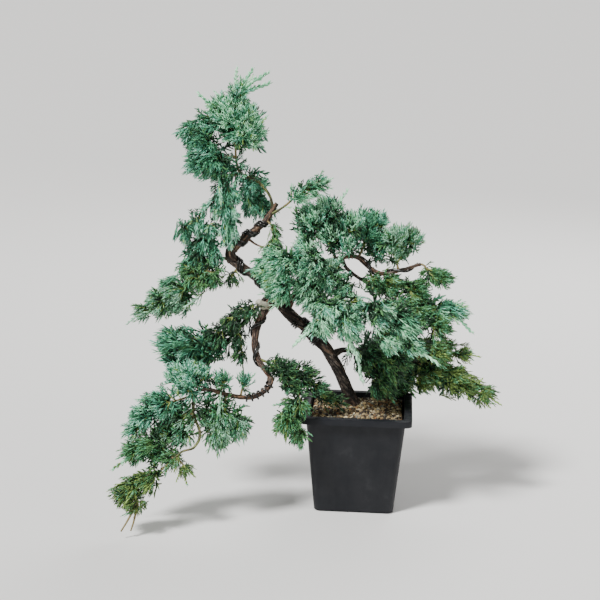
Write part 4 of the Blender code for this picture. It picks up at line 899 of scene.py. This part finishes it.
class Growth:
    # One mass: stem, an axis to each lobe, twigs by the golden angle, and sprays along the twigs.
    def __init__(self, name):
        self.plan = masses[name]
        self.rng = random.Random("spray " + name)
        self.sweep = Vector(self.plan["sweep"])
        self.twigs = []
        self.sprays = []
        self.axes = []

    def addSpray(self, root, way, length, normal, outer):
        length = min(length, foliage["longest"])
        if length >= foliage["shortest"]:
            kind = min(feathery, key=lambda i: abs(sprayKinds[i]["length"] - length))
            layer = "outer" if outer else "inner"
            self.sprays.append((root, way.normalized(), length, normal, layer, kind))

    def scatter(self, spread):
        return Vector([self.rng.gauss(0, spread) for axis in range(3)])

    def fanNormal(self, way):
        # Fans lie any way round, but more of them face up and forward.
        face = Vector((self.rng.uniform(-1, 1), self.rng.uniform(-1.5, 0.7), self.rng.uniform(-0.7, 1.3)))
        face = face - way * face.dot(way)
        return face.normalized() if face.length > 0.05 else way.orthogonal().normalized()

    def nearestOnAxes(self, target):
        best = None
        for start, end in self.axes:
            span = end - start
            t = min(max((target - start).dot(span) / span.length_squared, 0.1), 0.95)
            place = start + span * t
            if best is None or (place - target).length < (best - target).length:
                best = place
        return best

    def growTwig(self, foot, tip, forward, centre, radius):
        dist = (tip - foot).length
        middle = foot.lerp(tip, 0.5) + forward * dist * foliage["twigBow"]
        middle += self.sweep * dist * foliage["twigSweep"]
        self.twigs.append(([foot, middle, tip], foliage["twigRadii"]))
        way = (tip - middle).normalized()
        normal = self.fanNormal(way)
        side = way.cross(normal)
        limit = radius * foliage["reach"]
        endWay = way + self.sweep * foliage["sweepLean"] + (tip - centre).normalized() * foliage["outward"]
        endWay.normalize()
        depth = (tip - centre).length / radius
        length = max(reachInBall(tip, endWay, centre, limit), foliage["terminalLeast"])
        self.addSpray(tip - endWay * 0.8, endWay, length, normal, depth > 0.5)
        count = max(1, round(dist / foliage["spraySpacing"]))
        for k in range(count):
            t = 0.30 + 0.62 * (k + 0.5) / count
            root = foot.lerp(middle, t * 2) if t < 0.5 else middle.lerp(tip, t * 2 - 1)
            hand = 1 if k % 2 else -1
            fork = math.radians(foliage["fork"] + self.rng.uniform(-8, 12))
            aim = way * math.cos(fork) + side * (hand * math.sin(fork))
            aim += self.sweep * foliage["sweepLean"] * foliage["sideLean"]
            aim = (aim + normal * self.rng.uniform(-foliage["lift"], foliage["lift"])).normalized()
            length = reachInBall(root, aim, centre, limit) * self.rng.uniform(*foliage["sideShare"])
            # Sprays that end deep in the lobe take the dark inner colours, painted shade.
            outer = ((root + aim * length) - centre).length / radius > foliage["innerDepth"]
            self.addSpray(root - aim * 0.6, aim, length, self.fanNormal(aim).lerp(normal, 0.5), outer)

    def growLobe(self, centre, radius, entry, end):
        span = end - entry
        forward = span.normalized()
        count = max(foliage["fewestTwigs"], round(foliage["twigsPerArea"] * radius * radius))
        roll = Matrix.Rotation(self.rng.uniform(0, 6.28), 3, "X")
        turn = roll @ Matrix.Rotation(self.rng.uniform(0, 6.28), 3, "Z")
        for k in range(count):
            high = 1.0 - 2.0 * (k + 0.5) / count
            ring = math.sqrt(1.0 - high * high)
            angle = goldenAngle * k
            out = turn @ Vector((ring * math.cos(angle), ring * math.sin(angle), high))
            aim = (out + self.sweep * foliage["sweepLean"] + forward * foliage["forwardLean"]).normalized()
            tip = centre + aim * radius * self.rng.uniform(*foliage["tipShare"])
            along = (tip - entry).dot(forward)
            gap = (tip - (entry + forward * along)).length
            foot = entry + forward * min(max(along - gap * foliage["lag"], 0.0), span.length)
            if (tip - foot).length > 2.0:
                self.growTwig(foot, tip, forward, centre, radius)
        self.fillLobe(centre, radius, entry, end)

    def fillLobe(self, centre, radius, entry, end):
        # Coarse sprays at the heart of the lobe and finer ones along its axis, all in the dark inner
        # colours: painted shade inside the mass.
        for k in range(round(foliage["heartsPerArea"] * radius * radius)):
            way = self.scatter(1).normalized()
            side = self.scatter(foliage["heartShift"]) * radius
            length = radius * foliage["heartReach"] * self.rng.uniform(*foliage["heartShare"])
            self.sprays.append((centre + side, way, length, self.fanNormal(way), "inner", heartKind))
        for k in range(round(foliage["fansPerArea"] * radius * radius)):
            # Long fans that follow the sweep over the top of the lobe.
            way = (self.sweep.normalized() + self.scatter(foliage["fanSpread"])).normalized()
            root = centre + self.scatter(foliage["fanShift"]) * radius
            length = reachInBall(root, way, centre, radius * foliage["fanReach"])
            length *= self.rng.uniform(*foliage["fanShare"])
            self.addSpray(root, way, length, self.fanNormal(way), True)
        span = end - entry
        count = int(span.length / foliage["axisSpacing"])
        for k in range(count):
            way = (self.scatter(1) + span.normalized() * 0.5).normalized()
            place = entry + span * ((k + 0.5) / count)
            length = radius * self.rng.uniform(*foliage["axisShare"])
            self.addSpray(place, way, length, self.fanNormal(way), False)

    def growShoot(self, tip):
        # A long free cord with a few short side cords, on a thin twig where it is far from its mass.
        tip = Vector(tip)
        root = self.nearestOnAxes(tip)
        way = (tip - root).normalized()
        length = (tip - root).length
        leafy = min(length, foliage["shootLongest"])
        foot = tip - way * leafy
        if length > leafy + 1.0:
            middle = root.lerp(foot, 0.5)
            self.twigs.append(([root, middle, foot], foliage["farRadii"]))
        self.sprays.append((foot, way, leafy, self.fanNormal(way), "shoot", shootKind))
        for k in range(foliage["lesserCords"]):
            # Lesser cords beside it, so that the shoot rises out of the mass as a small bundle.
            lean = (way + self.fanNormal(way) * self.rng.uniform(0.2, 0.45)).normalized()
            size = leafy * self.rng.uniform(*foliage["lesserShare"])
            self.addSpray(foot.lerp(tip, 0.12 * k), lean, size, self.fanNormal(lean), True)

    def dressLimb(self, name):
        # Short sprays straight on a young limb, where it runs through this mass.
        points, radii, along = coarseLines[name]
        first, last, spacing = dressed[name]
        for k in range(int(along[-1] / spacing)):
            s = (k + 0.5) * spacing
            i = max(j for j in range(len(along) - 1) if along[j] <= s)
            place = points[i].lerp(points[i + 1], (s - along[i]) / (along[i + 1] - along[i]))
            near = min((place - Vector(lobe[:3])).length / lobe[3] for lobe in self.plan["lobes"])
            if near > foliage["dressReach"] or not first <= s / along[-1] <= last:
                continue
            tangent = (points[i + 1] - points[i]).normalized()
            side = tangent.orthogonal().normalized()
            angle = goldenAngle * k + self.rng.uniform(-0.3, 0.3)
            out = side * math.cos(angle) + tangent.cross(side) * math.sin(angle)
            way = (out + tangent * 0.5 + self.sweep * 0.4).normalized()
            self.addSpray(place + out * radii[i] * 0.9, way, self.rng.uniform(*foliage["dressLength"]),
                          self.fanNormal(way), self.rng.random() < 0.6)

    def grow(self):
        lobes = [(Vector(lobe[:3]), lobe[3]) for lobe in self.plan["lobes"]]
        root, way = massRoot(self.plan)
        heart = lobes[0][0]
        elbow = root + way * min(6.0, (heart - root).length * 0.4)
        self.twigs.append(([root, elbow, heart], foliage["stemRadii"]))
        self.axes.append((elbow, heart))
        for centre, radius in lobes[1:]:
            entry = self.nearestOnAxes(centre)
            middle = entry.lerp(centre, 0.5) + self.sweep * (centre - entry).length * 0.03
            self.twigs.append(([entry, middle, centre], foliage["axisRadii"]))
            self.axes.append((entry, centre))
        for (centre, radius), (entry, end) in zip(lobes, self.axes[:len(lobes)]):
            self.growLobe(centre, radius, entry, end)
        for tip in self.plan["shoots"]:
            self.growShoot(tip)
        for name in [self.plan["on"], *self.plan.get("through", [])]:
            if name in dressed:
                self.dressLimb(name)
        for tip in self.plan.get("bareShoots", []):
            tip = Vector(tip)
            start = self.nearestOnAxes(tip)
            middle = start.lerp(tip, 0.5) + Vector((2.5, 0.5, 0))
            self.twigs.append(([start, middle, tip], foliage["bareRadii"]))


def limbSegments():
    starts, ends, radii = [], [], []
    for name in limbs:
        points, widths, along = coarseLines[name]
        for a, b, ra, rb in zip(points, points[1:], widths, widths[1:]):
            starts.append(a)
            ends.append(b)
            radii.append((ra + rb) / 2)
    return np.array(starts), np.array(ends), np.array(radii)


segmentStarts, segmentEnds, segmentRadii = limbSegments()
potRoom = {"half": 66.0, "height": 119.5, "innerHalf": 53.0, "soil": 114.0}


def roomFor(points):
    # True where a point is clear of limbs, pot, soil and floor.
    span = segmentEnds - segmentStarts
    offset = points[:, None, :] - segmentStarts[None, :, :]
    t = np.clip((offset * span).sum(2) / (span * span).sum(1), 0.0, 1.0)
    gap = np.linalg.norm(offset - t[..., None] * span, axis=2) - segmentRadii * foliage["limbClear"]
    free = gap.min(axis=1) > 0.0
    across = np.maximum(np.abs(points[:, 0]), np.abs(points[:, 1]))
    inPot = (across < potRoom["half"]) & (points[:, 2] < potRoom["height"])
    overSoil = (across < potRoom["innerHalf"]) & (points[:, 2] > potRoom["soil"])
    return free & (~inPot | overSoil) & (points[:, 2] > foliage["floorClear"])


def meshFromArrays(name, verts, faces, faceMaterials, materials):
    mesh = bpy.data.meshes.new(name)
    mesh.vertices.add(len(verts))
    mesh.vertices.foreach_set("co", np.ascontiguousarray(verts, dtype=np.float32).ravel())
    mesh.loops.add(len(faces) * 3)
    mesh.loops.foreach_set("vertex_index", np.ascontiguousarray(faces, dtype=np.int32).ravel())
    mesh.polygons.add(len(faces))
    mesh.polygons.foreach_set("loop_start", np.arange(0, len(faces) * 3, 3, dtype=np.int32))
    mesh.polygons.foreach_set("use_smooth", np.ones(len(faces), dtype=bool))
    for material in materials:
        mesh.materials.append(material)
    mesh.polygons.foreach_set("material_index", np.ascontiguousarray(faceMaterials, dtype=np.int32))
    mesh.update(calc_edges=True)
    piece = bpy.data.objects.new(name, mesh)
    bpy.context.scene.collection.objects.link(piece)
    return piece


def twigArrays(path, radii, sides):
    steps = []
    for k in range(5):
        t = k / 4
        a, b, c = path
        steps.append((a * ((1 - t) ** 2) + b * (2 * t * (1 - t)) + c * (t * t), spreadValue(radii, t)))
    side = (path[2] - path[0]).orthogonal().normalized()
    verts = []
    for i, (point, radius) in enumerate(steps):
        following = steps[min(i + 1, 4)][0] - steps[max(i - 1, 0)][0]
        tangent = following.normalized()
        side = (side - tangent * side.dot(tangent)).normalized()
        other = tangent.cross(side)
        for k in range(sides):
            angle = 2 * math.pi * k / sides
            verts.append(point + (side * math.cos(angle) + other * math.sin(angle)) * radius)
    faces = []
    for i in range(4):
        for k in range(sides):
            a = i * sides + k
            b = i * sides + (k + 1) % sides
            faces += [(a, b, b + sides), (a, b + sides, a + sides)]
    last = 4 * sides
    for k in range(1, sides - 1):
        faces.append((0, k + 1, k))
        faces.append((last, last + k, last + k + 1))
    return verts, faces


def makeMass(name):
    growth = Growth(name)
    growth.grow()
    plan = growth.plan
    rng = growth.rng
    # Sprays that would touch a limb, the pot or the floor are left out.
    roots = np.array([tuple(s[0]) for s in growth.sprays])
    ways = np.array([tuple(s[1]) for s in growth.sprays])
    lengths = np.array([s[2] for s in growth.sprays])
    keep = np.ones(len(roots), dtype=bool)
    for share in foliage["clearShares"]:
        keep &= roomFor(roots + ways * (lengths * share)[:, None])
    chosen = [spray for spray, kept in zip(growth.sprays, keep) if kept]
    tint = tints[plan.get("look", plan["tint"])]
    used = sorted({colour for group in tint.values() for triple in group for colour in triple})
    groups = {}
    for root, way, length, normal, layer, family in chosen:
        variant = rng.randrange(sprayShape["variants"])
        scale = length / sprayKinds[family]["length"]
        normal = (normal - way * normal.dot(way)).normalized()
        across = normal.cross(way)
        turn = np.array([tuple(way), tuple(across), tuple(normal)]) * scale
        slots = [used.index(colour) for colour in rng.choice(tint[layer])]
        groups.setdefault((family, variant), []).append((tuple(root), turn, slots, length))
    allVerts, allFaces, allMaterials = [], [], []
    start = 0
    bend = np.array(tuple(Vector(plan["sweep"]) + Vector((0, 0, -0.25)))) * foliage["droop"]
    for (family, variant), rows in sorted(groups.items()):
        verts, faces, parts = sprays[family][variant]
        places = np.array([row[0] for row in rows])
        turns = np.array([row[1] for row in rows])
        colours = np.array([row[2] for row in rows])
        sizes = np.array([row[3] for row in rows])
        placed = np.einsum("vi,kij->kvj", verts, turns) + places[:, None, :]
        share = np.clip(verts[:, 0] / sprayKinds[family]["length"], 0.0, 1.2) ** 2
        placed += share[None, :, None] * (sizes[:, None, None] * bend[None, None, :])
        count = len(rows)
        offsets = start + np.arange(count)[:, None, None] * len(verts)
        allVerts.append(placed.reshape(-1, 3))
        allFaces.append((faces[None] + offsets).reshape(-1, 3))
        allMaterials.append(colours[:, parts].ravel())
        start += count * len(verts)
    piece = meshFromArrays("sprays_" + name, np.concatenate(allVerts) * mm, np.concatenate(allFaces),
                           np.concatenate(allMaterials), [leafMaterials[c] for c in used])
    finishPiece(piece, plan["tint"], name)
    total = len(piece.data.polygons)
    verts, faces, kinds = [], [], []
    for path, radii in growth.twigs:
        newVerts, newFaces = twigArrays(path, radii, 6 if radii[0] > 1.0 else 5)
        base = len(verts)
        verts.extend(tuple(v * mm) for v in newVerts)
        faces.extend(tuple(v + base for v in face) for face in newFaces)
        kinds.extend([0 if radii[0] > foliage["brownFrom"] else 1] * len(newFaces))
    twigPiece = meshFromArrays("twigs_" + name, np.array(verts), np.array(faces), np.array(kinds),
                               [twigMaterials["brownTwig"], twigMaterials["greenTwig"]])
    finishPiece(twigPiece, "green_stem")
    return total, len(faces), len(chosen)


pot = {
    "rim": 130.0, "height": 118.0, "wallTop": 114.0, "wallBottom": 91.0, "skirt": 7.4, "sheet": 2.2,
    "foot": 2.5, "footInset": 2.2, "corner": 6.5, "notch": (11.0, 9.0), "edge": 0.45,
}


def selectBy(kind, elements, test):
    bpy.ops.mesh.select_mode(type=kind)
    bpy.ops.mesh.select_all(action="DESELECT")
    bpy.ops.object.mode_set(mode="OBJECT")
    for element in elements:
        element.select = bool(test(element))
    bpy.ops.object.mode_set(mode="EDIT")


def selectFaces(mesh, test):
    # Selects the faces whose centre and normal pass the test.
    selectBy("FACE", mesh.polygons, lambda face: test(face.center, face.normal))


def selectEdges(mesh, test):
    # Selects the edges whose two ends pass the test.
    selectBy("EDGE", mesh.edges, lambda edge: test(*(mesh.vertices[i].co for i in edge.vertices)))


def extrudeBy(rise):
    bpy.ops.mesh.extrude_region_move(TRANSFORM_OT_translate={"value": (0, 0, rise * mm)})


def makePot():
    bpy.ops.object.select_all(action="DESELECT")
    wallFoot = pot["foot"] * mm
    wallHead = (pot["height"] - pot["sheet"] / 2) * mm
    bpy.ops.mesh.primitive_cube_add(size=1.0)
    shell = bpy.context.object
    shell.name = "nursery_pot"
    mesh = shell.data
    bpy.ops.object.mode_set(mode="EDIT")
    bpy.ops.mesh.select_all(action="SELECT")
    bpy.ops.transform.resize(value=(pot["wallTop"] * mm, pot["wallTop"] * mm, wallHead - wallFoot))
    bpy.ops.transform.translate(value=(0, 0, (wallHead + wallFoot) / 2))
    selectFaces(mesh, lambda c, n: n.z < -0.9)
    taper = pot["wallBottom"] / pot["wallTop"]
    bpy.ops.transform.resize(value=(taper, taper, 1.0))
    selectEdges(mesh, lambda a, b: abs(a.z - b.z) > 0.05)
    bpy.ops.mesh.bevel(offset=pot["corner"] * mm, segments=7, affect="EDGES")
    selectFaces(mesh, lambda c, n: n.z > 0.9)
    bpy.ops.mesh.delete(type="FACE")
    # The lip folds out and down from the open edge.
    selectEdges(mesh, lambda a, b: min(a.z, b.z) > wallHead - 1e-5)
    extrudeBy(0)
    spread = (pot["rim"] - pot["sheet"]) / pot["wallTop"]
    bpy.ops.transform.resize(value=(spread, spread, 1.0))
    extrudeBy(pot["sheet"] / 2 - pot["skirt"])
    # The foot steps in under the wall.
    selectFaces(mesh, lambda c, n: n.z < -0.9 and c.z < wallFoot + 1e-5)
    bpy.ops.mesh.inset(thickness=pot["footInset"] * mm)
    extrudeBy(pot["sheet"] / 2 - pot["foot"])
    bpy.ops.mesh.select_all(action="SELECT")
    bpy.ops.mesh.normals_make_consistent(inside=False)
    bpy.ops.object.mode_set(mode="OBJECT")
    thick = shell.modifiers.new("sheet", "SOLIDIFY")
    thick.thickness = pot["sheet"] * mm
    thick.offset = 0.0
    thick.use_even_offset = True
    bpy.ops.object.modifier_apply(modifier=thick.name)
    notchWidth, notchDepth = pot["notch"]
    reach = pot["wallBottom"] / 2 - pot["footInset"]
    for i in range(4):
        turn = math.pi / 2 * i
        place = Vector(((reach - notchDepth / 2 + 1.0) * mm, 0, 0.4 * mm))
        place.rotate(Matrix.Rotation(turn, 3, "Z"))
        bpy.ops.mesh.primitive_cube_add(size=1.0, location=place, rotation=(0, 0, turn),
                                        scale=((notchDepth + 2.0) * mm, notchWidth * mm, 2.6 * mm))
        cutter = bpy.context.object
        bpy.ops.object.select_all(action="DESELECT")
        shell.select_set(True)
        bpy.context.view_layer.objects.active = shell
        notch = shell.modifiers.new("notch", "BOOLEAN")
        notch.operation = "DIFFERENCE"
        notch.solver = "EXACT"
        notch.object = cutter
        bpy.ops.object.modifier_apply(modifier=notch.name)
        bpy.data.objects.remove(cutter, do_unlink=True)
    soften = shell.modifiers.new("soften", "BEVEL")
    soften.width = pot["edge"] * mm
    soften.segments = 2
    soften.limit_method = "ANGLE"
    soften.angle_limit = math.radians(40)
    bpy.ops.object.modifier_apply(modifier=soften.name)
    bpy.ops.object.shade_smooth_by_angle(angle=math.radians(32))
    mesh.materials.clear()
    mesh.materials.append(makePotMaterial())
    finishPiece(shell, "pot_plastic", "pot")


def makePotMaterial():
    made = newMaterial("mattPot", (0.011, 0.012, 0.016), 0.46)
    shader = made.node_tree.nodes["Principled BSDF"]
    shader.inputs["Specular IOR Level"].default_value = 0.20
    place = addNode(made, "ShaderNodeTexCoord")
    dust = addNode(made, "ShaderNodeTexNoise", Scale=26.0, Detail=6.0, Roughness=0.62)
    dustRamp = addRamp(made, [(0.42, (0.009, 0.010, 0.013)), (0.60, (0.014, 0.015, 0.018)),
                              (0.80, (0.032, 0.033, 0.036))])
    streaks = addNode(made, "ShaderNodeMapping", vector_type="POINT")
    streaks.inputs["Scale"].default_value = (170.0, 170.0, 14.0)
    smears = addNode(made, "ShaderNodeTexNoise", Scale=1.0, Detail=4.0, Roughness=0.6)
    sheen = addRamp(made, [(0.35, (0.40, 0.40, 0.40)), (0.70, (0.60, 0.60, 0.60))])
    mould = addNode(made, "ShaderNodeTexNoise", Scale=1500.0, Detail=2.0, Roughness=0.5)
    bump = addNode(made, "ShaderNodeBump", Strength=0.18, Distance=0.0002)
    join(made, place, "Object", dust, "Vector")
    join(made, place, "Object", streaks, "Vector")
    join(made, place, "Object", mould, "Vector")
    join(made, streaks, "Vector", smears, "Vector")
    join(made, dust, "Fac", dustRamp, "Fac")
    join(made, dustRamp, "Color", shader, "Base Color")
    join(made, smears, "Fac", sheen, "Fac")
    join(made, sheen, "Color", shader, "Roughness")
    join(made, mould, "Fac", bump, "Height")
    join(made, bump, "Normal", shader, "Normal")
    return made


soil = {"half": 53.4, "top": 111.3, "depth": 8.0, "cells": 64, "roll": 1.3, "coarse": 25, "fine": 44,
        "coarseSize": (1.7, 2.7), "fineSize": (0.8, 1.4), "mound": 1.8, "trunkFoot": (-6.0, 20.0),
        "trunkRoom": 8.5}
gritColours = {
    "tanGrit": (0.33, 0.245, 0.120), "creamGrit": (0.56, 0.47, 0.29), "rustGrit": (0.23, 0.115, 0.045),
    "darkGrit": (0.035, 0.025, 0.017), "greyGrit": (0.17, 0.165, 0.13), "brownGrit": (0.105, 0.070, 0.036),
}


def soilHeight(x, y):
    # Gently uneven, and a little higher round the foot of the trunk.
    roll = noise.noise(Vector((x * 0.045, y * 0.045, 3.0))) * soil["roll"]
    footX, footY = soil["trunkFoot"]
    near = math.exp(-((x - footX) ** 2 + (y - footY) ** 2) / 500.0)
    return soil["top"] + roll + soil["mound"] * near


def makeSoil():
    bpy.ops.object.select_all(action="DESELECT")
    bpy.ops.mesh.primitive_grid_add(x_subdivisions=soil["cells"], y_subdivisions=soil["cells"],
                                    size=2 * soil["half"] * mm, location=(0, 0, 0))
    bed = bpy.context.object
    bed.name = "soil_bed"
    bpy.ops.object.mode_set(mode="EDIT")
    bpy.ops.mesh.select_all(action="SELECT")
    extrudeBy(soil["depth"])
    bpy.ops.mesh.select_all(action="SELECT")
    bpy.ops.mesh.normals_make_consistent(inside=False)
    bpy.ops.object.mode_set(mode="OBJECT")
    for vert in bed.data.vertices:
        high = vert.co.z > soil["depth"] * mm / 2
        x, y = vert.co.x / mm, vert.co.y / mm
        grit = noise.noise(Vector((x * 0.5, y * 0.5, 9.0))) * 0.9
        vert.co.z = (soilHeight(x, y) - 0.8 + grit if high else soil["top"] - soil["depth"]) * mm
    bed.data.update()
    earth = newMaterial("darkEarth", (0.05, 0.034, 0.024), 0.95)
    shader = earth.node_tree.nodes["Principled BSDF"]
    place = addNode(earth, "ShaderNodeTexCoord")
    crumbs = addNode(earth, "ShaderNodeTexNoise", Scale=420.0, Detail=5.0, Roughness=0.7)
    tones = addRamp(earth, [(0.36, (0.018, 0.012, 0.009)), (0.55, (0.075, 0.048, 0.030)),
                            (0.75, (0.20, 0.13, 0.075))])
    join(earth, place, "Object", crumbs, "Vector")
    join(earth, crumbs, "Fac", tones, "Fac")
    join(earth, tones, "Color", shader, "Base Color")
    bed.data.materials.append(earth)
    finishPiece(bed, "soil_grit", "soil")
    rng = random.Random("grit")
    shapes = []
    for i in range(6):
        # Each grain starts as a small ball of twenty faces and is knocked out of round.
        bpy.ops.mesh.primitive_ico_sphere_add(subdivisions=1, radius=1.0)
        ball = bpy.context.object
        knock = Vector((rng.uniform(0.75, 1.25), rng.uniform(0.75, 1.2), rng.uniform(0.6, 0.95)))
        corners = [Vector(v.co) * knock * rng.uniform(0.82, 1.12) for v in ball.data.vertices]
        verts = np.array([tuple(corner) for corner in corners])
        faces = np.array([tuple(f.vertices) for f in ball.data.polygons])
        shapes.append((verts, faces))
        bpy.data.objects.remove(ball, do_unlink=True)
    names = list(gritColours)
    weights = [28, 17, 10, 24, 12, 24]
    allVerts, allFaces, kinds = [], [], []
    start = 0
    footX, footY = soil["trunkFoot"]
    for cells, sizes, lift in ((soil["coarse"], soil["coarseSize"], 0.55),
                               (soil["fine"], soil["fineSize"], 0.75)):
        pitch = 2 * soil["half"] / cells
        for i in range(cells):
            for j in range(cells):
                x = -soil["half"] + (i + rng.uniform(0.15, 0.85)) * pitch
                y = -soil["half"] + (j + rng.uniform(0.15, 0.85)) * pitch
                size = rng.uniform(*sizes)
                byTrunk = math.hypot(x - footX, y - footY) < soil["trunkRoom"]
                if byTrunk or max(abs(x), abs(y)) > soil["half"] - size:
                    continue
                verts, faces = shapes[rng.randrange(6)]
                spin = Matrix.Rotation(rng.uniform(0, 6.28), 3, "Z")
                turn = spin @ Matrix.Rotation(rng.uniform(-0.6, 0.6), 3, "X")
                height = soilHeight(x, y) + size * (lift + rng.uniform(-0.35, 0.25)) - 0.4
                placed = verts @ (np.array(turn).T * size) + np.array((x, y, height))
                allVerts.append(placed)
                allFaces.append(faces + start)
                kinds.extend([rng.choices(range(len(names)), weights)[0]] * len(faces))
                start += len(verts)
    paints = [newMaterial(name, gritColours[name], 0.9) for name in names]
    grit = meshFromArrays("soil_grit", np.concatenate(allVerts) * mm, np.concatenate(allFaces),
                          np.array(kinds), paints)
    grit.data.polygons.foreach_set("use_smooth", np.zeros(len(grit.data.polygons), dtype=bool))
    finishPiece(grit, "soil_grit")
    print("soil: grains", len(allVerts), "faces", len(kinds))


addCamera()
addStudio()
print("camera and studio ready")
makePot()
print("pot modelled")
makeSoil()

barkMaterials = {name: makeBarkMaterial(name) for name in barkFinishes}
wireMaterial = makeWireMaterial()
for name in limbs:
    makeLimb(name)
print("trunk and boughs barked:", len(limbs))
for name in wires:
    makeWire(name)
print("wires wound:", len(wires))

leafMaterials = {name: newMaterial("leaf_" + name, colour, 0.55) for name, colour in leafColours.items()}
twigMaterials = {"brownTwig": newMaterial("brownTwig", (0.20, 0.155, 0.060), 0.75),
                 "greenTwig": newMaterial("greenTwig", (0.30, 0.38, 0.10), 0.65)}
sprays = [[makeSpray(kind, 100 * i + v) for v in range(sprayShape["variants"])]
          for i, kind in enumerate(sprayKinds)]
leafTotal = twigTotal = sprayTotal = 0
for name in masses:
    leafFaces, twigFaces, sprayCount = makeMass(name)
    leafTotal += leafFaces
    twigTotal += twigFaces
    sprayTotal += sprayCount
print("foliage grown: sprays", sprayTotal, "leaf triangles", leafTotal, "twig triangles", twigTotal)
